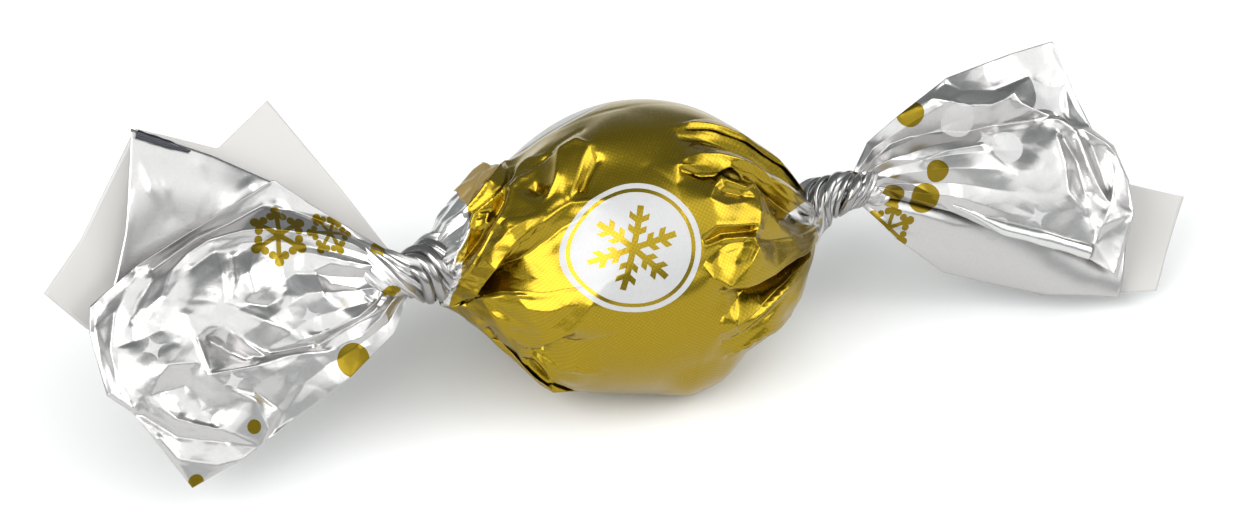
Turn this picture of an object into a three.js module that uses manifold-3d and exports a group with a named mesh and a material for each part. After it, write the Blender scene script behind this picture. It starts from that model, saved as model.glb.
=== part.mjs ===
// A praline wrapped in foil and clear film, twisted shut at both ends. It lies on the underside of its ball.
// Millimetres, +Z up. The origin is on the surface it lies on, under the middle of the ball. +X runs to the
// right-hand twist. Foil and film are drawn thicker than the real 0.02 mm, so that each is a solid sheet.
import * as THREE from "three";
import { mergeVertices } from "three/addons/utils/BufferGeometryUtils.js";
import Module from "manifold-3d";

const manifold = await Module();
manifold.setup();

// Driving dimensions
const BALL_RADIUS = 13.5;
const BALL_HEIGHT = 12.6; // centre of the ball over the surface, which leaves a flat spot 9.7 mm across
const SPINDLE_HALF_LENGTH = 17.6; // where the gold foil would close to a point on either side
const BODY_LEFT_END = 18.4; // where the gold foil ends and the twists begin
const BODY_RIGHT_END = 17.1;
const PIECE_GAP = 0.3; // between neighbouring pieces
const FOIL_THICKNESS = 0.5;
const FILM_THICKNESS = 0.36;
const FAN_LEAN = Math.PI / 4; // how far the spread ends lean back
const LEFT_KNOT = new THREE.Vector3(-21.8, -0.5, 15.0); // where the left twist opens into its fan
const RIGHT_KNOT = new THREE.Vector3(22.0, -0.5, 14.7);

// Mesh steps
const BODY_RINGS = 48;
const BODY_SIDES = 42;
const TWIST_SIDES = 14;

// Looks of the three kinds of surface
const goldFoil = { color: 0xb59a26, roughness: 0.34, metalness: 0.9 };
const silverFoil = { color: 0xd2d2d2, roughness: 0.26, metalness: 0.95 };
const clearFilm = { color: 0xdad8d7, roughness: 0.3, metalness: 0.0 };

function smoothStep(low, high, value) {
  return THREE.MathUtils.smoothstep(value, low, high);
}

// Nearest point of a path to a place: its distance, its side (+1 is left of the path) and how far along.
function nearestOnPath(x, y, path, stretchY) {
  let best = { distance: Infinity, side: 1, along: 0 };
  const spans = path.length - 1;
  for (let i = 0; i < spans; i += 1) {
    const [ax, ay] = path[i];
    const [bx, by] = path[i + 1];
    const dx = bx - ax;
    const dy = (by - ay) * stretchY;
    const px = x - ax;
    const py = (y - ay) * stretchY;
    const t = THREE.MathUtils.clamp((px * dx + py * dy) / (dx * dx + dy * dy), 0, 1);
    const distance = Math.hypot(px - t * dx, py - t * dy);
    if (distance < best.distance) {
      best = { distance, side: dx * py - dy * px >= 0 ? 1 : -1, along: (i + t) / spans };
    }
  }
  return best;
}

// A fold: a crest of `height` along `path`, or a valley where it is negative. It falls off over `left` on
// its left side and over `right` on the other. It dies away at its ends, except at the first one if rooted.
function fold(height, left, right, path, rooted = false) {
  return { height, left, right, path, rooted };
}

// Sum of the folds at a place.
function foldHeight(x, y, folds, stretchY = 1) {
  let total = 0;
  for (const { path, height, left, right, rooted } of folds) {
    const near = nearestOnPath(x, y, path, stretchY);
    const reach = near.side > 0 ? left : right;
    const start = rooted ? 1 : smoothStep(-0.02, 0.3, near.along);
    const end = 1 - smoothStep(0.7, 1.02, near.along);
    total += height * start * end * Math.exp(-((near.distance / reach) ** 2));
  }
  return total;
}

// A wave with straight flanks between 0 and 1, which gives the flat facets of crumpled foil.
function facetWave(t) {
  return Math.abs((((t % 2) + 2) % 2) - 1);
}

// Crumpled foil: straight-sided waves of two sizes that cross each other.
function crumple(x, y, size) {
  const a = facetWave((0.9 * x + 0.5 * y) / size + 0.35 * Math.sin((1.3 * y) / size));
  const b = facetWave((-0.55 * x + 0.95 * y) / size + 0.3 + 0.4 * Math.sin((1.1 * x) / size));
  const c = facetWave((1.6 * x - 0.7 * y) / size + 0.8);
  return a + b + 0.5 * c - 1.25;
}

function closedGeometry(positions, triangles) {
  const geometry = new THREE.BufferGeometry();
  geometry.setAttribute("position", new THREE.Float32BufferAttribute(positions, 3));
  geometry.setIndex(triangles);
  geometry.computeVertexNormals();
  return geometry;
}

// The two triangles of a quad a-b-c-d, given anticlockwise as seen from outside.
function quad(triangles, a, b, c, d) {
  triangles.push(a, b, c, a, c, d);
}

// A closed tube through rings of equal count, each a list of points anticlockwise as seen from the far end.
function loft(rings) {
  const sides = rings[0].length;
  const positions = [];
  for (const ring of rings) {
    for (const point of ring) {
      positions.push(point.x, point.y, point.z);
    }
  }
  const triangles = [];
  for (let i = 0; i + 1 < rings.length; i += 1) {
    for (let j = 0; j < sides; j += 1) {
      const k = (j + 1) % sides;
      quad(triangles, i * sides + j, i * sides + k, (i + 1) * sides + k, (i + 1) * sides + j);
    }
  }
  for (const [ring, flip] of [[rings[0], true], [rings[rings.length - 1], false]]) {
    const middle = ring.reduce((sum, point) => sum.add(point), new THREE.Vector3()).divideScalar(sides);
    const hub = positions.length / 3;
    positions.push(middle.x, middle.y, middle.z);
    const first = flip ? 0 : (rings.length - 1) * sides;
    for (let j = 0; j < sides; j += 1) {
      const k = (j + 1) % sides;
      triangles.push(hub, first + (flip ? k : j), first + (flip ? j : k));
    }
  }
  return closedGeometry(positions, triangles);
}

function asSolid(geometry) {
  const bare = geometry.clone();
  bare.deleteAttribute("normal");
  bare.deleteAttribute("uv");
  const merged = mergeVertices(bare, 1e-4);
  return new manifold.Manifold(
    new manifold.Mesh({
      numProp: 3,
      vertProperties: new Float32Array(merged.attributes.position.array),
      triVerts: new Uint32Array(merged.index.array),
    }),
  );
}

// The main piece of a solid as a mesh, without loose scraps or sealed bubbles between folds.
function asGeometry(solid) {
  const main = solid.decompose().reduce((best, piece) => (piece.volume() > best.volume() ? piece : best));
  const mesh = main.getMesh();
  return closedGeometry(Array.from(mesh.vertProperties), Array.from(mesh.triVerts));
}

// ---- The ball in gold foil ----

// Angles are in degrees round the X axis: 0 faces -Y, 90 is the top. Each path is a list of [x, angle].
const bodyFolds = [
  // lower lobe that laps over the left tip, and the hollow above it
  fold(0.8, 0.5, 3.0, [[-17, 30], [-13, 29], [-9, 25], [-5, 27]], true),
  fold(-0.9, 1.5, 1.6, [[-15.5, 42], [-12, 42], [-8, 42], [-5, 45]]),
  // band that sweeps from the left tip up to the middle
  fold(0.9, 1.6, 0.7, [[-17, 38], [-13.6, 57], [-10.8, 59], [-7, 63], [-4, 66]], true),
  // ridges of the upper left shoulder, and the loose flap that lies over it
  fold(0.8, 0.7, 1.5, [[-15.5, 100], [-13, 96], [-10.5, 91], [-8.5, 94]]),
  fold(-0.6, 1.0, 1.4, [[-16, 78], [-13, 80], [-9.5, 80], [-6, 87]]),
  fold(0.9, 2.4, 1.8, [[-16, 126], [-13.5, 125], [-11, 122], [-7.5, 116]], true),
  // big fold of the upper right: an outer lip, a hollow leaf and a lower lip
  fold(1.0, 1.3, 0.7, [[16.6, 84], [14, 87], [10, 95], [6.5, 94], [3, 90]], true),
  fold(-0.8, 1.0, 1.0, [[15.5, 72], [12.5, 76], [9, 80], [5, 82]]),
  fold(0.8, 1.2, 1.1, [[16.6, 52], [13.6, 59], [9.1, 65], [5, 75]], true),
  fold(0.5, 3.0, 3.0, [[15, 124], [12, 125], [8, 125], [4, 122]]),
  // facets to the right of the middle
  fold(0.45, 0.8, 1.0, [[12, 54], [8.5, 49], [4.6, 51]]),
  fold(0.55, 0.7, 1.2, [[13, 36], [9, 36], [4.6, 40]]),
  // lobe of the lower right with the deep furrow below it
  fold(0.9, 1.8, 0.8, [[16.8, 16], [13, 14], [9, 15], [4, 17]], true),
  fold(-0.8, 0.8, 0.9, [[15.5, 2], [12, 3], [8, 3], [4.5, -5]]),
  fold(0.6, 0.7, 1.4, [[12.5, -24], [8.5, -18], [5, -18]]),
  // small folds of the lower left
  fold(0.5, 0.8, 1.0, [[-14.3, -22], [-11, -15], [-6.5, -18]]),
  fold(0.3, 0.8, 1.0, [[-12.4, -40], [-10.1, -44], [-7, -41]]),
  fold(-0.6, 3.0, 3.0, [[-15.5, -50], [-12, -52], [-8, -53]]),
];

const PLEAT_COUNT = 9;
const PLEAT_DEPTH = 0.75;
const PLEAT_SWIRL = 0.09; // radians of turn for each mm along X
const BODY_CRUMPLE = 0.2; // height of the crumpling at the ends of the ball
const BODY_CRUMPLE_SIZE = 2.6;
// The front of the underside is pressed flat across this direction.
const FACET_PLANE = new THREE.Vector3(-0.19, -0.585, -0.788).normalize();
const FACET_REACH = 13.45; // distance of that flat from the ball's centre
const FACET_FULLNESS = 0.95; // how much fuller the ball is beside the flat
const FACET_CHEEK = 3.8; // where along X it is fullest
const RIGHT_FULLNESS = 0.6; // how far the fullest part leans to the right of the middle
const RIGHT_BEND = new THREE.Vector3(0, -0.5, -0.6); // of the right end, to meet its twist

// The left end of the ball is a cone that lifts back and up to its twist.
const CONE_START = 9.5; // distance from the middle where the spindle begins to turn into the cone
const CONE_FULL = 13.5; // and where it is all cone
const CONE_RADIUS = 7.6; // there
const CONE_SLOPE = 0.95;
const CONE_LIFT = 1.15;
const CONE_LIFT_SLOPE = 0.22;
const CONE_LIFT_MOST = 1.9;
const CONE_LIFT_WAY = new THREE.Vector3(0, 0.6, 0.8);

function spindleRadius(x) {
  const leaning = x - RIGHT_FULLNESS * (1 - (x / SPINDLE_HALF_LENGTH) ** 2);
  return BALL_RADIUS * Math.max(1 - (leaning / SPINDLE_HALF_LENGTH) ** 2, 0.02) ** 0.75;
}

// How far the ball has turned into its left cone, from 0 to 1.
function coneShare(x) {
  return smoothStep(CONE_START, CONE_FULL, -x);
}

function bodyRadius(x) {
  const cone = CONE_RADIUS + CONE_SLOPE * (x + CONE_FULL);
  return THREE.MathUtils.lerp(spindleRadius(x), cone, coneShare(x));
}

function bodyCentre(x) {
  const lift = coneShare(x) * Math.min(CONE_LIFT - CONE_LIFT_SLOPE * (x + CONE_FULL), CONE_LIFT_MOST);
  return new THREE.Vector3(x, 0, BALL_HEIGHT)
    .addScaledVector(CONE_LIFT_WAY, lift)
    .addScaledVector(RIGHT_BEND, smoothStep(7, BODY_RIGHT_END, x));
}

// Pleats that gather the foil into the twists, with a sharp crest and a round furrow.
function pleats(x, angle) {
  const strength = smoothStep(5, 14, Math.abs(x)) * Math.min(bodyRadius(x) / 5, 1);
  const shown = 0.3 + 0.7 * smoothStep(90, 130, Math.abs(angle - 37)); // the front has folds of its own
  const turn = (PLEAT_COUNT * THREE.MathUtils.degToRad(angle)) / 2 + PLEAT_SWIRL * PLEAT_COUNT * x;
  return PLEAT_DEPTH * strength * shown * (0.5 - Math.abs(Math.sin(turn)));
}

function bodyPoint(x, angle, growth) {
  const radius = bodyRadius(x);
  const turn = THREE.MathUtils.degToRad(angle);
  const outward = new THREE.Vector3(0, -Math.cos(turn), Math.sin(turn));
  const folded = foldHeight(x, angle, bodyFolds, THREE.MathUtils.degToRad(radius));
  const ends = smoothStep(4, 13, Math.abs(x));
  const crumpled = BODY_CRUMPLE * ends * crumple(x, radius * turn, BODY_CRUMPLE_SIZE);
  const relief = folded + pleats(x, angle) + crumpled;
  const height = Math.max(radius + relief, 0.75 * radius) + growth * (1 + 1.3 * ends);
  const facing = outward.dot(FACET_PLANE);
  const cheek = smoothStep(0.8, 0.98, facing) * (1 - smoothStep(1.5, 5, Math.abs(x - FACET_CHEEK)));
  const fullness = FACET_FULLNESS * cheek;
  const point = bodyCentre(x).addScaledVector(outward, height + fullness);
  const beyond = point.clone().sub(new THREE.Vector3(0, 0, BALL_HEIGHT)).dot(FACET_PLANE) - FACET_REACH;
  point.addScaledVector(FACET_PLANE, -Math.max(beyond, 0));
  point.z = Math.max(point.z, 0);
  return point;
}

// The whole wrapped ball. `growth` swells it, to cut clearance into its neighbours.
function bodyGeometry(growth = 0) {
  const rings = [];
  for (let i = 0; i <= BODY_RINGS; i += 1) {
    const t = (2 * i) / BODY_RINGS - 1;
    const end = t < 0 ? BODY_LEFT_END : BODY_RIGHT_END;
    const x = end * (0.72 * t + 0.28 * Math.sin((Math.PI / 2) * t));
    const ring = [];
    for (let j = 0; j < BODY_SIDES; j += 1) {
      const angle = 180 - ((j + 0.5) * 360) / BODY_SIDES;
      ring.push(bodyPoint(x, angle, growth).add(new THREE.Vector3(growth * t, 0, 0)));
    }
    rings.push(ring);
  }
  return loft(rings);
}

// ---- Sheets of the spread ends, in the plane of their fan ----

const SAG_SPAN = 37; // the sag of a back sheet is a half wave of this length
const BACK_SHEET_DROP = 0.2; // of a back sheet behind the front one where they meet
const BACK_CRUMPLE = 0.2; // height of the crumpling of a back sheet
const FILM_ROOT_DEPTH = 2.75; // of the film behind the fan, where it leaves the twist

// A point on a path of corners, at a share t of its length.
function alongPath(path, t) {
  const lengths = [];
  for (let i = 0; i + 1 < path.length; i += 1) {
    lengths.push(Math.hypot(path[i + 1][0] - path[i][0], path[i + 1][1] - path[i][1]));
  }
  let rest = t * lengths.reduce((sum, length) => sum + length, 0);
  let i = 0;
  while (i < lengths.length - 1 && rest > lengths[i]) {
    rest -= lengths[i];
    i += 1;
  }
  const share = Math.min(rest / lengths[i], 1);
  return [0, 1].map((axis) => path[i][axis] + share * (path[i + 1][axis] - path[i][axis]));
}

// A point of the patch that fills four edges. `upper` and `lower` run outwards from the twist (u = 0 to 1),
// and `outer` runs from the end of `upper` to the end of `lower` (v = 0 to 1).
function patchPoint({ upper, lower, outer }, u, v) {
  const top = alongPath(upper, u);
  const bottom = alongPath(lower, u);
  const far = alongPath(outer, v);
  const [p00, p10] = [upper[0], upper[upper.length - 1]];
  const [p01, p11] = [lower[0], lower[lower.length - 1]];
  return [0, 1].map((axis) => {
    const near = p00[axis] + v * (p01[axis] - p00[axis]);
    const corners =
      (1 - u) * (1 - v) * p00[axis] + u * (1 - v) * p10[axis] + (1 - u) * v * p01[axis] + u * v * p11[axis];
    return (1 - v) * top[axis] + v * bottom[axis] + (1 - u) * near + u * far[axis] - corners;
  });
}

// A thin closed sheet over a patch. Both faces are split into triangles alike.
function sheetGeometry(patch, steps, thickness, relief) {
  const [across, down] = steps;
  const positions = [];
  for (const half of [thickness / 2, -thickness / 2]) {
    for (let i = 0; i <= across; i += 1) {
      for (let j = 0; j <= down; j += 1) {
        const [u, v] = [i / across, j / down];
        const [x, y] = patchPoint(patch, u, v);
        positions.push(x, y, relief(x, y, u, v) + half);
      }
    }
  }
  const row = down + 1;
  const face = (across + 1) * row;
  const edge = [];
  for (let j = 0; j < down; j += 1) edge.push(j);
  for (let i = 0; i < across; i += 1) edge.push(i * row + down);
  for (let j = down; j > 0; j -= 1) edge.push(across * row + j);
  for (let i = across; i > 0; i -= 1) edge.push(i * row);
  const turn = signedArea(edge, positions) > 0 ? 1 : -1;
  const triangles = [];
  const add = (a, b, c) => (turn > 0 ? triangles.push(a, b, c) : triangles.push(a, c, b));
  for (let i = 0; i < across; i += 1) {
    for (let j = 0; j < down; j += 1) {
      const [a, b] = [i * row + j, i * row + j + 1];
      const [c, d] = [(i + 1) * row + j + 1, (i + 1) * row + j];
      const corners = (i + j) % 2 === 0 ? [a, b, c, a, c, d] : [a, b, d, b, c, d];
      for (let k = 0; k < 6; k += 3) {
        add(corners[k], corners[k + 1], corners[k + 2]);
        add(corners[k] + face, corners[k + 2] + face, corners[k + 1] + face);
      }
    }
  }
  edge.forEach((a, k) => {
    const b = edge[(k + 1) % edge.length];
    add(b, a, a + face);
    add(b, a + face, b + face);
  });
  return closedGeometry(positions, triangles);
}

function signedArea(loop, positions) {
  let area = 0;
  loop.forEach((a, k) => {
    const b = loop[(k + 1) % loop.length];
    area += positions[3 * a] * positions[3 * b + 1] - positions[3 * b] * positions[3 * a + 1];
  });
  return area;
}

// Pleats that spread from the twist and die out towards the rim.
function spreadPleats(u, v, count) {
  return (0.5 - facetWave(count * v)) * smoothStep(0, 0.1, u) * (1 - smoothStep(0.25, 0.8, u));
}

// ---- Twists: foil rope from the body to the fan ----

const STRAND_HEIGHT = 0.32; // of the twisted strands on the rope

// `stations` are [x, y, z, half width, half thickness]; the width lies in the plane of the fan.
function twistGeometry(stations, knot, lobes, turns, rings) {
  const places = stations.map(([x, y, z]) => toFan(new THREE.Vector3(x, y, z), knot));
  const path = new THREE.CatmullRomCurve3(places, false, "centripetal");
  const widths = stations.map((station, i) => new THREE.Vector3(station[3], station[4], i));
  const sizes = new THREE.CatmullRomCurve3(widths, false, "centripetal");
  const result = [];
  for (let i = 0; i <= rings; i += 1) {
    const t = i / rings;
    const centre = path.getPoint(t);
    const ahead = path.getTangent(t);
    const thin = new THREE.Vector3(0, 0, 1).addScaledVector(ahead, -ahead.z).normalize();
    const wide = new THREE.Vector3().crossVectors(thin, ahead);
    const size = sizes.getPoint(t);
    const ring = [];
    for (let j = 0; j < TWIST_SIDES; j += 1) {
      const angle = (j / TWIST_SIDES) * 2 * Math.PI;
      const strand = STRAND_HEIGHT * Math.cos(lobes * (angle - turns * 2 * Math.PI * t));
      const point = centre.clone();
      point.addScaledVector(wide, Math.cos(angle) * (size.x + strand));
      point.addScaledVector(thin, Math.sin(angle) * (size.y + 0.5 * strand));
      ring.push(point);
    }
    result.push(ring);
  }
  return loft(result);
}

function toFan(point, knot) {
  return point.clone().sub(knot).applyAxisAngle(new THREE.Vector3(1, 0, 0), -FAN_LEAN);
}

// The swollen body, brought into the fan's own frame.
function bodyClearance(knot) {
  const geometry = bodyGeometry(PIECE_GAP);
  geometry.translate(-knot.x, -knot.y, -knot.z);
  geometry.rotateX(-FAN_LEAN);
  return asSolid(geometry);
}

// One tail: its twist and sheets fused, clear of the body.
function tailGeometry(pieces, knot) {
  const fused = pieces.map(asSolid).reduce((sum, piece) => sum.add(piece));
  return asGeometry(fused.subtract(bodyClearance(knot)));
}

// ---- Left tail ----

// Corners of the sheets as seen square on to the fan, from its twist at [0, 0].
const leftFront = {
  upper: [[0.3, 1.5], [-5.6, 6.5], [-10, 10.7], [-13.1, 9.5], [-18.7, 7.4], [-24, 5.3], [-28.4, 2.8]],
  lower: [[0.2, -1.5], [-2.2, -5], [-7.1, -8.2], [-12.4, -10.6], [-17.9, -13.3], [-22.9, -14.9]],
  outer: [[-28.4, 2.8], [-29, 0.5], [-28.7, -5.4], [-26.9, -7.4], [-22.9, -14.9]],
};
const leftBack = {
  upper: [[0.3, 1.4], [-5.6, 6.6], [-10, 10.7], [-14.8, 14.1], [-21.4, 17.8]],
  lower: [[0.2, -1.4], [-7, -7.2], [-14, -10.4], [-21.5, -12]],
  outer: [[-21.4, 17.8], [-23.7, 8.8], [-25.2, 5.2], [-27.6, 1], [-26, -6], [-21.5, -12]],
};
const leftFilm = {
  upper: [[-0.1, 2.6], [-8.4, 18.3]],
  lower: [[-0.6, -1.2], [-12, -4.2], [-23, -2.5], [-28.6, 1.4], [-31.7, 5.1]],
  outer: [[-8.4, 18.3], [-13.8, 14.8], [-20.8, 18], [-27.5, 9.2], [-31.7, 5.1]],
};
const leftFolds = [
  // ridge that curls from the twist round the top of the pouch
  fold(1.7, 3.4, 0.9, [[-0.5, 0.9], [-6, 4.2], [-10.3, 6.3], [-14, 6.9], [-19.2, 5.5], [-22, 2.9]], true),
  // valley between that ridge and the rim, and the rim of the open mouth
  fold(-1.1, 1.2, 1.1, [[-3, 3.2], [-9, 8.1], [-13, 8.6], [-18, 6.9]]),
  fold(1.3, 1.4, 1.2, [[-10, 10.7], [-14.8, 8.8], [-24, 5.2], [-28.5, 2.5]], true),
  // creases across the belly
  fold(-1.2, 1.3, 1.6, [[-22, 2.6], [-16.4, 0.4], [-13.4, -1.4], [-10.8, -3.9]]),
  fold(1.3, 2.6, 0.8, [[-19.3, -5.2], [-14.2, -5], [-8.4, -5.3]]),
  fold(1.1, 1.6, 0.9, [[-22.1, 2.7], [-19.8, -1], [-19.3, -5.2], [-22.7, -8.6]]),
  fold(1.1, 1.4, 0.9, [[-0.5, 0], [-3.9, -2.6], [-7.6, -3.8], [-10.4, -4.1]], true),
  fold(1.0, 1.3, 1.0, [[-22.7, 5.9], [-26.6, 1.8], [-27.3, -6.8]]),
  fold(0.9, 1.4, 1.1, [[-26.8, -6.8], [-22.6, -9.6], [-18.5, -11.5], [-15, -11.8]]),
];
const LEFT_BELLY = 2.6; // how far the front sheet swells out
const LEFT_CRUMPLE = 0.32;
const LEFT_MOUTH_DEPTH = 3.2; // how far the back sheet hangs behind the front one
const LEFT_SEAM_SLOPE = 0.84; // the two sheets meet along a line from the twist

function leftFrontRelief(x, y, u, v) {
  const outward = Math.sin(Math.PI * Math.min(0.85 * u, 1));
  const belly = LEFT_BELLY * outward * Math.sin(Math.PI * (0.12 + 0.76 * v));
  const folds = foldHeight(x, y, leftFolds) + LEFT_CRUMPLE * smoothStep(0.1, 0.5, u) * crumple(x, y, 3.4);
  return belly + folds * smoothStep(0, 0.14, u) + 0.9 * spreadPleats(u, v, 9);
}

// Depth of a back sheet: none along the seam where it meets the front one, most in the middle of the fan.
function sheetSag(x, y, seamSlope, depth) {
  const below = (seamSlope * Math.abs(x) - y) / Math.hypot(1, seamSlope);
  return depth * smoothStep(0, 8, below) * Math.sin(Math.PI * Math.min(Math.hypot(x, y) / SAG_SPAN, 1));
}

function leftBackRelief(x, y, u, v) {
  const sag = sheetSag(x, y, LEFT_SEAM_SLOPE, LEFT_MOUTH_DEPTH);
  const crumpled = BACK_CRUMPLE * smoothStep(0.1, 0.5, u) * crumple(x + 4, y, 4.2);
  return -sag - BACK_SHEET_DROP + crumpled + 0.5 * spreadPleats(u, v, 7);
}

function leftFilmRelief(x, y) {
  return filmDepth(x, y) - sheetSag(x, y, LEFT_SEAM_SLOPE, LEFT_MOUTH_DEPTH);
}

// The film leaves the twist just behind it and then lies close behind the foil, with a slow wave.
function filmDepth(x, y) {
  const away = Math.hypot(x, y);
  const wave = 0.2 * smoothStep(4, 12, away) * Math.sin(0.45 * x + 0.2 * y);
  return -FILM_ROOT_DEPTH + 0.8 * smoothStep(3, 10, away) + wave;
}

const leftTwist = [
  [-12.2, 2.2, 14.4, 6.3, 4.4],
  [-15.0, 1.2, 14.3, 4.6, 3.6],
  [-17.4, 0.6, 14.4, 3.3, 3.0],
  [-19.6, 0.1, 14.4, 2.4, 2.3],
  [-21.8, -0.5, 15.0, 1.8, 1.8],
  [-23.6, -0.6, 15.3, 2.4, 1.4],
  [-26.0, -0.6, 15.6, 3.4, 0.7],
];

// ---- Right tail ----

const rightFront = {
  upper: [[-0.4, 1.5], [1.5, 4], [5, 5.9], [10.2, 8.4], [16.9, 9.5], [21.2, 9.9]],
  lower: [[0, -0.6], [3.5, -1.8], [7.8, -3.8], [12.2, -6.9], [19.9, -10.6], [22.2, -13]],
  outer: [[21.2, 9.9], [22, 5.8], [22.9, 1.3], [24.7, -0.8], [25.4, -4.3], [25.1, -7.4], [22.2, -13]],
};
const rightBack = {
  upper: [[-0.4, 1.2], [4.9, 5.2], [11, 6.5], [18, 6.2], [22.5, 4.5]],
  lower: [[-0.2, -1.5], [2.9, -5.4], [7.4, -9.4], [16.8, -13.2], [23.1, -14.6]],
  outer: [[22.5, 4.5], [24.3, -2], [24.9, -9.1], [23.1, -14.6]],
};
const rightFilm = {
  upper: [[0.5, 1.7], [10, 1.5], [18, -1], [26, -3.9], [31.6, -6.5]],
  lower: [[0.6, -1.2], [8, -8.2], [16.8, -12.6], [22.8, -13.9], [27, -14.6]],
  outer: [[31.6, -6.5], [27, -14.6]],
};
const rightFolds = [
  // deep valley that runs out from the twist, under the upper crest
  fold(-1.3, 0.9, 1.7, [[-0.2, 1.6], [3.8, 3.5], [8.7, 3.6], [14.1, 2.9], [19, 3]], true),
  fold(1.3, 1.4, 1.0, [[3, 4.6], [8.8, 6.6], [14.8, 5.3], [17.1, 5.3], [22, 1.8]]),
  fold(-0.6, 0.8, 0.9, [[10.3, 8.3], [13.7, 6.7], [18.8, 7.4]]),
  // stripes at the open end
  fold(1.0, 0.9, 0.9, [[20.1, 3], [20.4, -1.5], [19.9, -5.6]]),
  fold(1.2, 0.9, 0.9, [[21.8, 2], [22.5, -2.8], [23.3, -7.4]]),
  fold(-0.8, 0.8, 0.8, [[23.4, 1], [24.4, -2.2], [25.7, -5.3]]),
  fold(1.0, 1.2, 1.2, [[22.2, -7.9], [22.2, -11], [22.4, -13]]),
  // fold rooted in the twist
  fold(0.8, 1.0, 1.0, [[-0.2, 0.8], [4.2, 0.3], [8.7, -0.1]], true),
];
const rightHem = [[1.6, -1.3], [5, -2.4], [9.5, -5.2], [14, -8.1], [19.8, -10.7]];
const HEM_RADIUS = 0.7;
const RIGHT_BELLY = 2.2;
const RIGHT_CRUMPLE = 0.28;
const RIGHT_MOUTH_DEPTH = 2.4;
const RIGHT_SEAM_SLOPE = 0.2;

function rightFrontRelief(x, y, u, v) {
  const outward = Math.sin(Math.PI * Math.min(0.9 * u, 1));
  const belly = RIGHT_BELLY * outward * Math.sin(Math.PI * (0.15 + 0.7 * v));
  const folds = foldHeight(x, y, rightFolds) + RIGHT_CRUMPLE * smoothStep(0.15, 0.6, u) * crumple(x, y, 3.8);
  return belly + folds * smoothStep(0, 0.14, u) + 0.8 * spreadPleats(u, v, 8);
}

function rightBackRelief(x, y, u, v) {
  const sag = sheetSag(x, y, RIGHT_SEAM_SLOPE, RIGHT_MOUTH_DEPTH);
  const crumpled = BACK_CRUMPLE * smoothStep(0.1, 0.5, u) * crumple(x, y + 3, 4.4);
  return -sag - BACK_SHEET_DROP + crumpled + 0.5 * spreadPleats(u, v, 7);
}

function rightFilmRelief(x, y) {
  return filmDepth(x, y) - sheetSag(x, y, RIGHT_SEAM_SLOPE, RIGHT_MOUTH_DEPTH);
}

const rightTwist = [
  [14.6, 0.2, 12.4, 4.0, 3.8],
  [17.2, -0.1, 13.1, 2.8, 2.7],
  [19.1, -0.3, 14.3, 2.1, 2.0],
  [22.0, -0.5, 14.7, 1.8, 1.8],
  [23.8, -0.6, 14.9, 2.3, 1.4],
  [26.2, -0.6, 15.1, 3.2, 0.7],
];

function hemGeometry() {
  const places = rightHem.map(([x, y]) => new THREE.Vector3(x, y, hemHeight(x)));
  const path = new THREE.CatmullRomCurve3(places);
  const outline = new THREE.Shape().absarc(0, 0, HEM_RADIUS, 0, 2 * Math.PI);
  return new THREE.ExtrudeGeometry(outline, { steps: 14, curveSegments: 4, extrudePath: path });
}

// The hem is rolled from the lower edge of the front sheet, so it follows that edge in height.
function hemHeight(x) {
  const u = THREE.MathUtils.clamp(x / 22.4, 0, 1);
  const [ex, ey] = alongPath(rightFront.lower, u);
  return rightFrontRelief(ex, ey, u, 1);
}

// ---- Assembly ----

function namedMesh(name, geometry, look) {
  const mesh = new THREE.Mesh(geometry, new THREE.MeshStandardMaterial(look));
  mesh.name = name;
  return mesh;
}

function fanGroup(knot, ...meshes) {
  const group = new THREE.Group();
  group.position.copy(knot);
  group.rotation.x = FAN_LEAN;
  group.add(...meshes);
  return group;
}

const leftTail = tailGeometry(
  [
    twistGeometry(leftTwist, LEFT_KNOT, 3, 1.1, 18),
    sheetGeometry(leftFront, [20, 19], FOIL_THICKNESS, leftFrontRelief),
    sheetGeometry(leftBack, [14, 12], FOIL_THICKNESS, leftBackRelief),
  ],
  LEFT_KNOT,
);
const rightTail = tailGeometry(
  [
    twistGeometry(rightTwist, RIGHT_KNOT, 3, -1.1, 14),
    sheetGeometry(rightFront, [21, 16], FOIL_THICKNESS, rightFrontRelief),
    sheetGeometry(rightBack, [14, 12], FOIL_THICKNESS, rightBackRelief),
    hemGeometry(),
  ],
  RIGHT_KNOT,
);

const sweet = new THREE.Group();
sweet.add(
  namedMesh("wrapped_praline", bodyGeometry(), goldFoil),
  fanGroup(
    LEFT_KNOT,
    namedMesh("left_tail", leftTail, silverFoil),
    namedMesh("left_film", sheetGeometry(leftFilm, [12, 12], FILM_THICKNESS, leftFilmRelief), clearFilm),
  ),
  fanGroup(
    RIGHT_KNOT,
    namedMesh("right_tail", rightTail, silverFoil),
    namedMesh("right_film", sheetGeometry(rightFilm, [12, 8], FILM_THICKNESS, rightFilmRelief), clearFilm),
  ),
);

export default sweet;
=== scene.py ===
"""Looks of a twist-wrapped praline: gold and silver foil under clear printed film, twisted shut at both ends.

Sizes are in millimetres and angles round the ball in degrees: 0 faces -Y and 90 is the top. A mesh is turned
to metres when it is made. Creases and prints are laid out on the flat foil, so both follow its folds.
"""

import logging
import math
from collections.abc import Callable
from dataclasses import dataclass, field
from enum import Enum

import bpy
import numpy as np
from mathutils import Matrix, Vector
from mathutils.geometry import delaunay_2d_cdt

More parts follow.
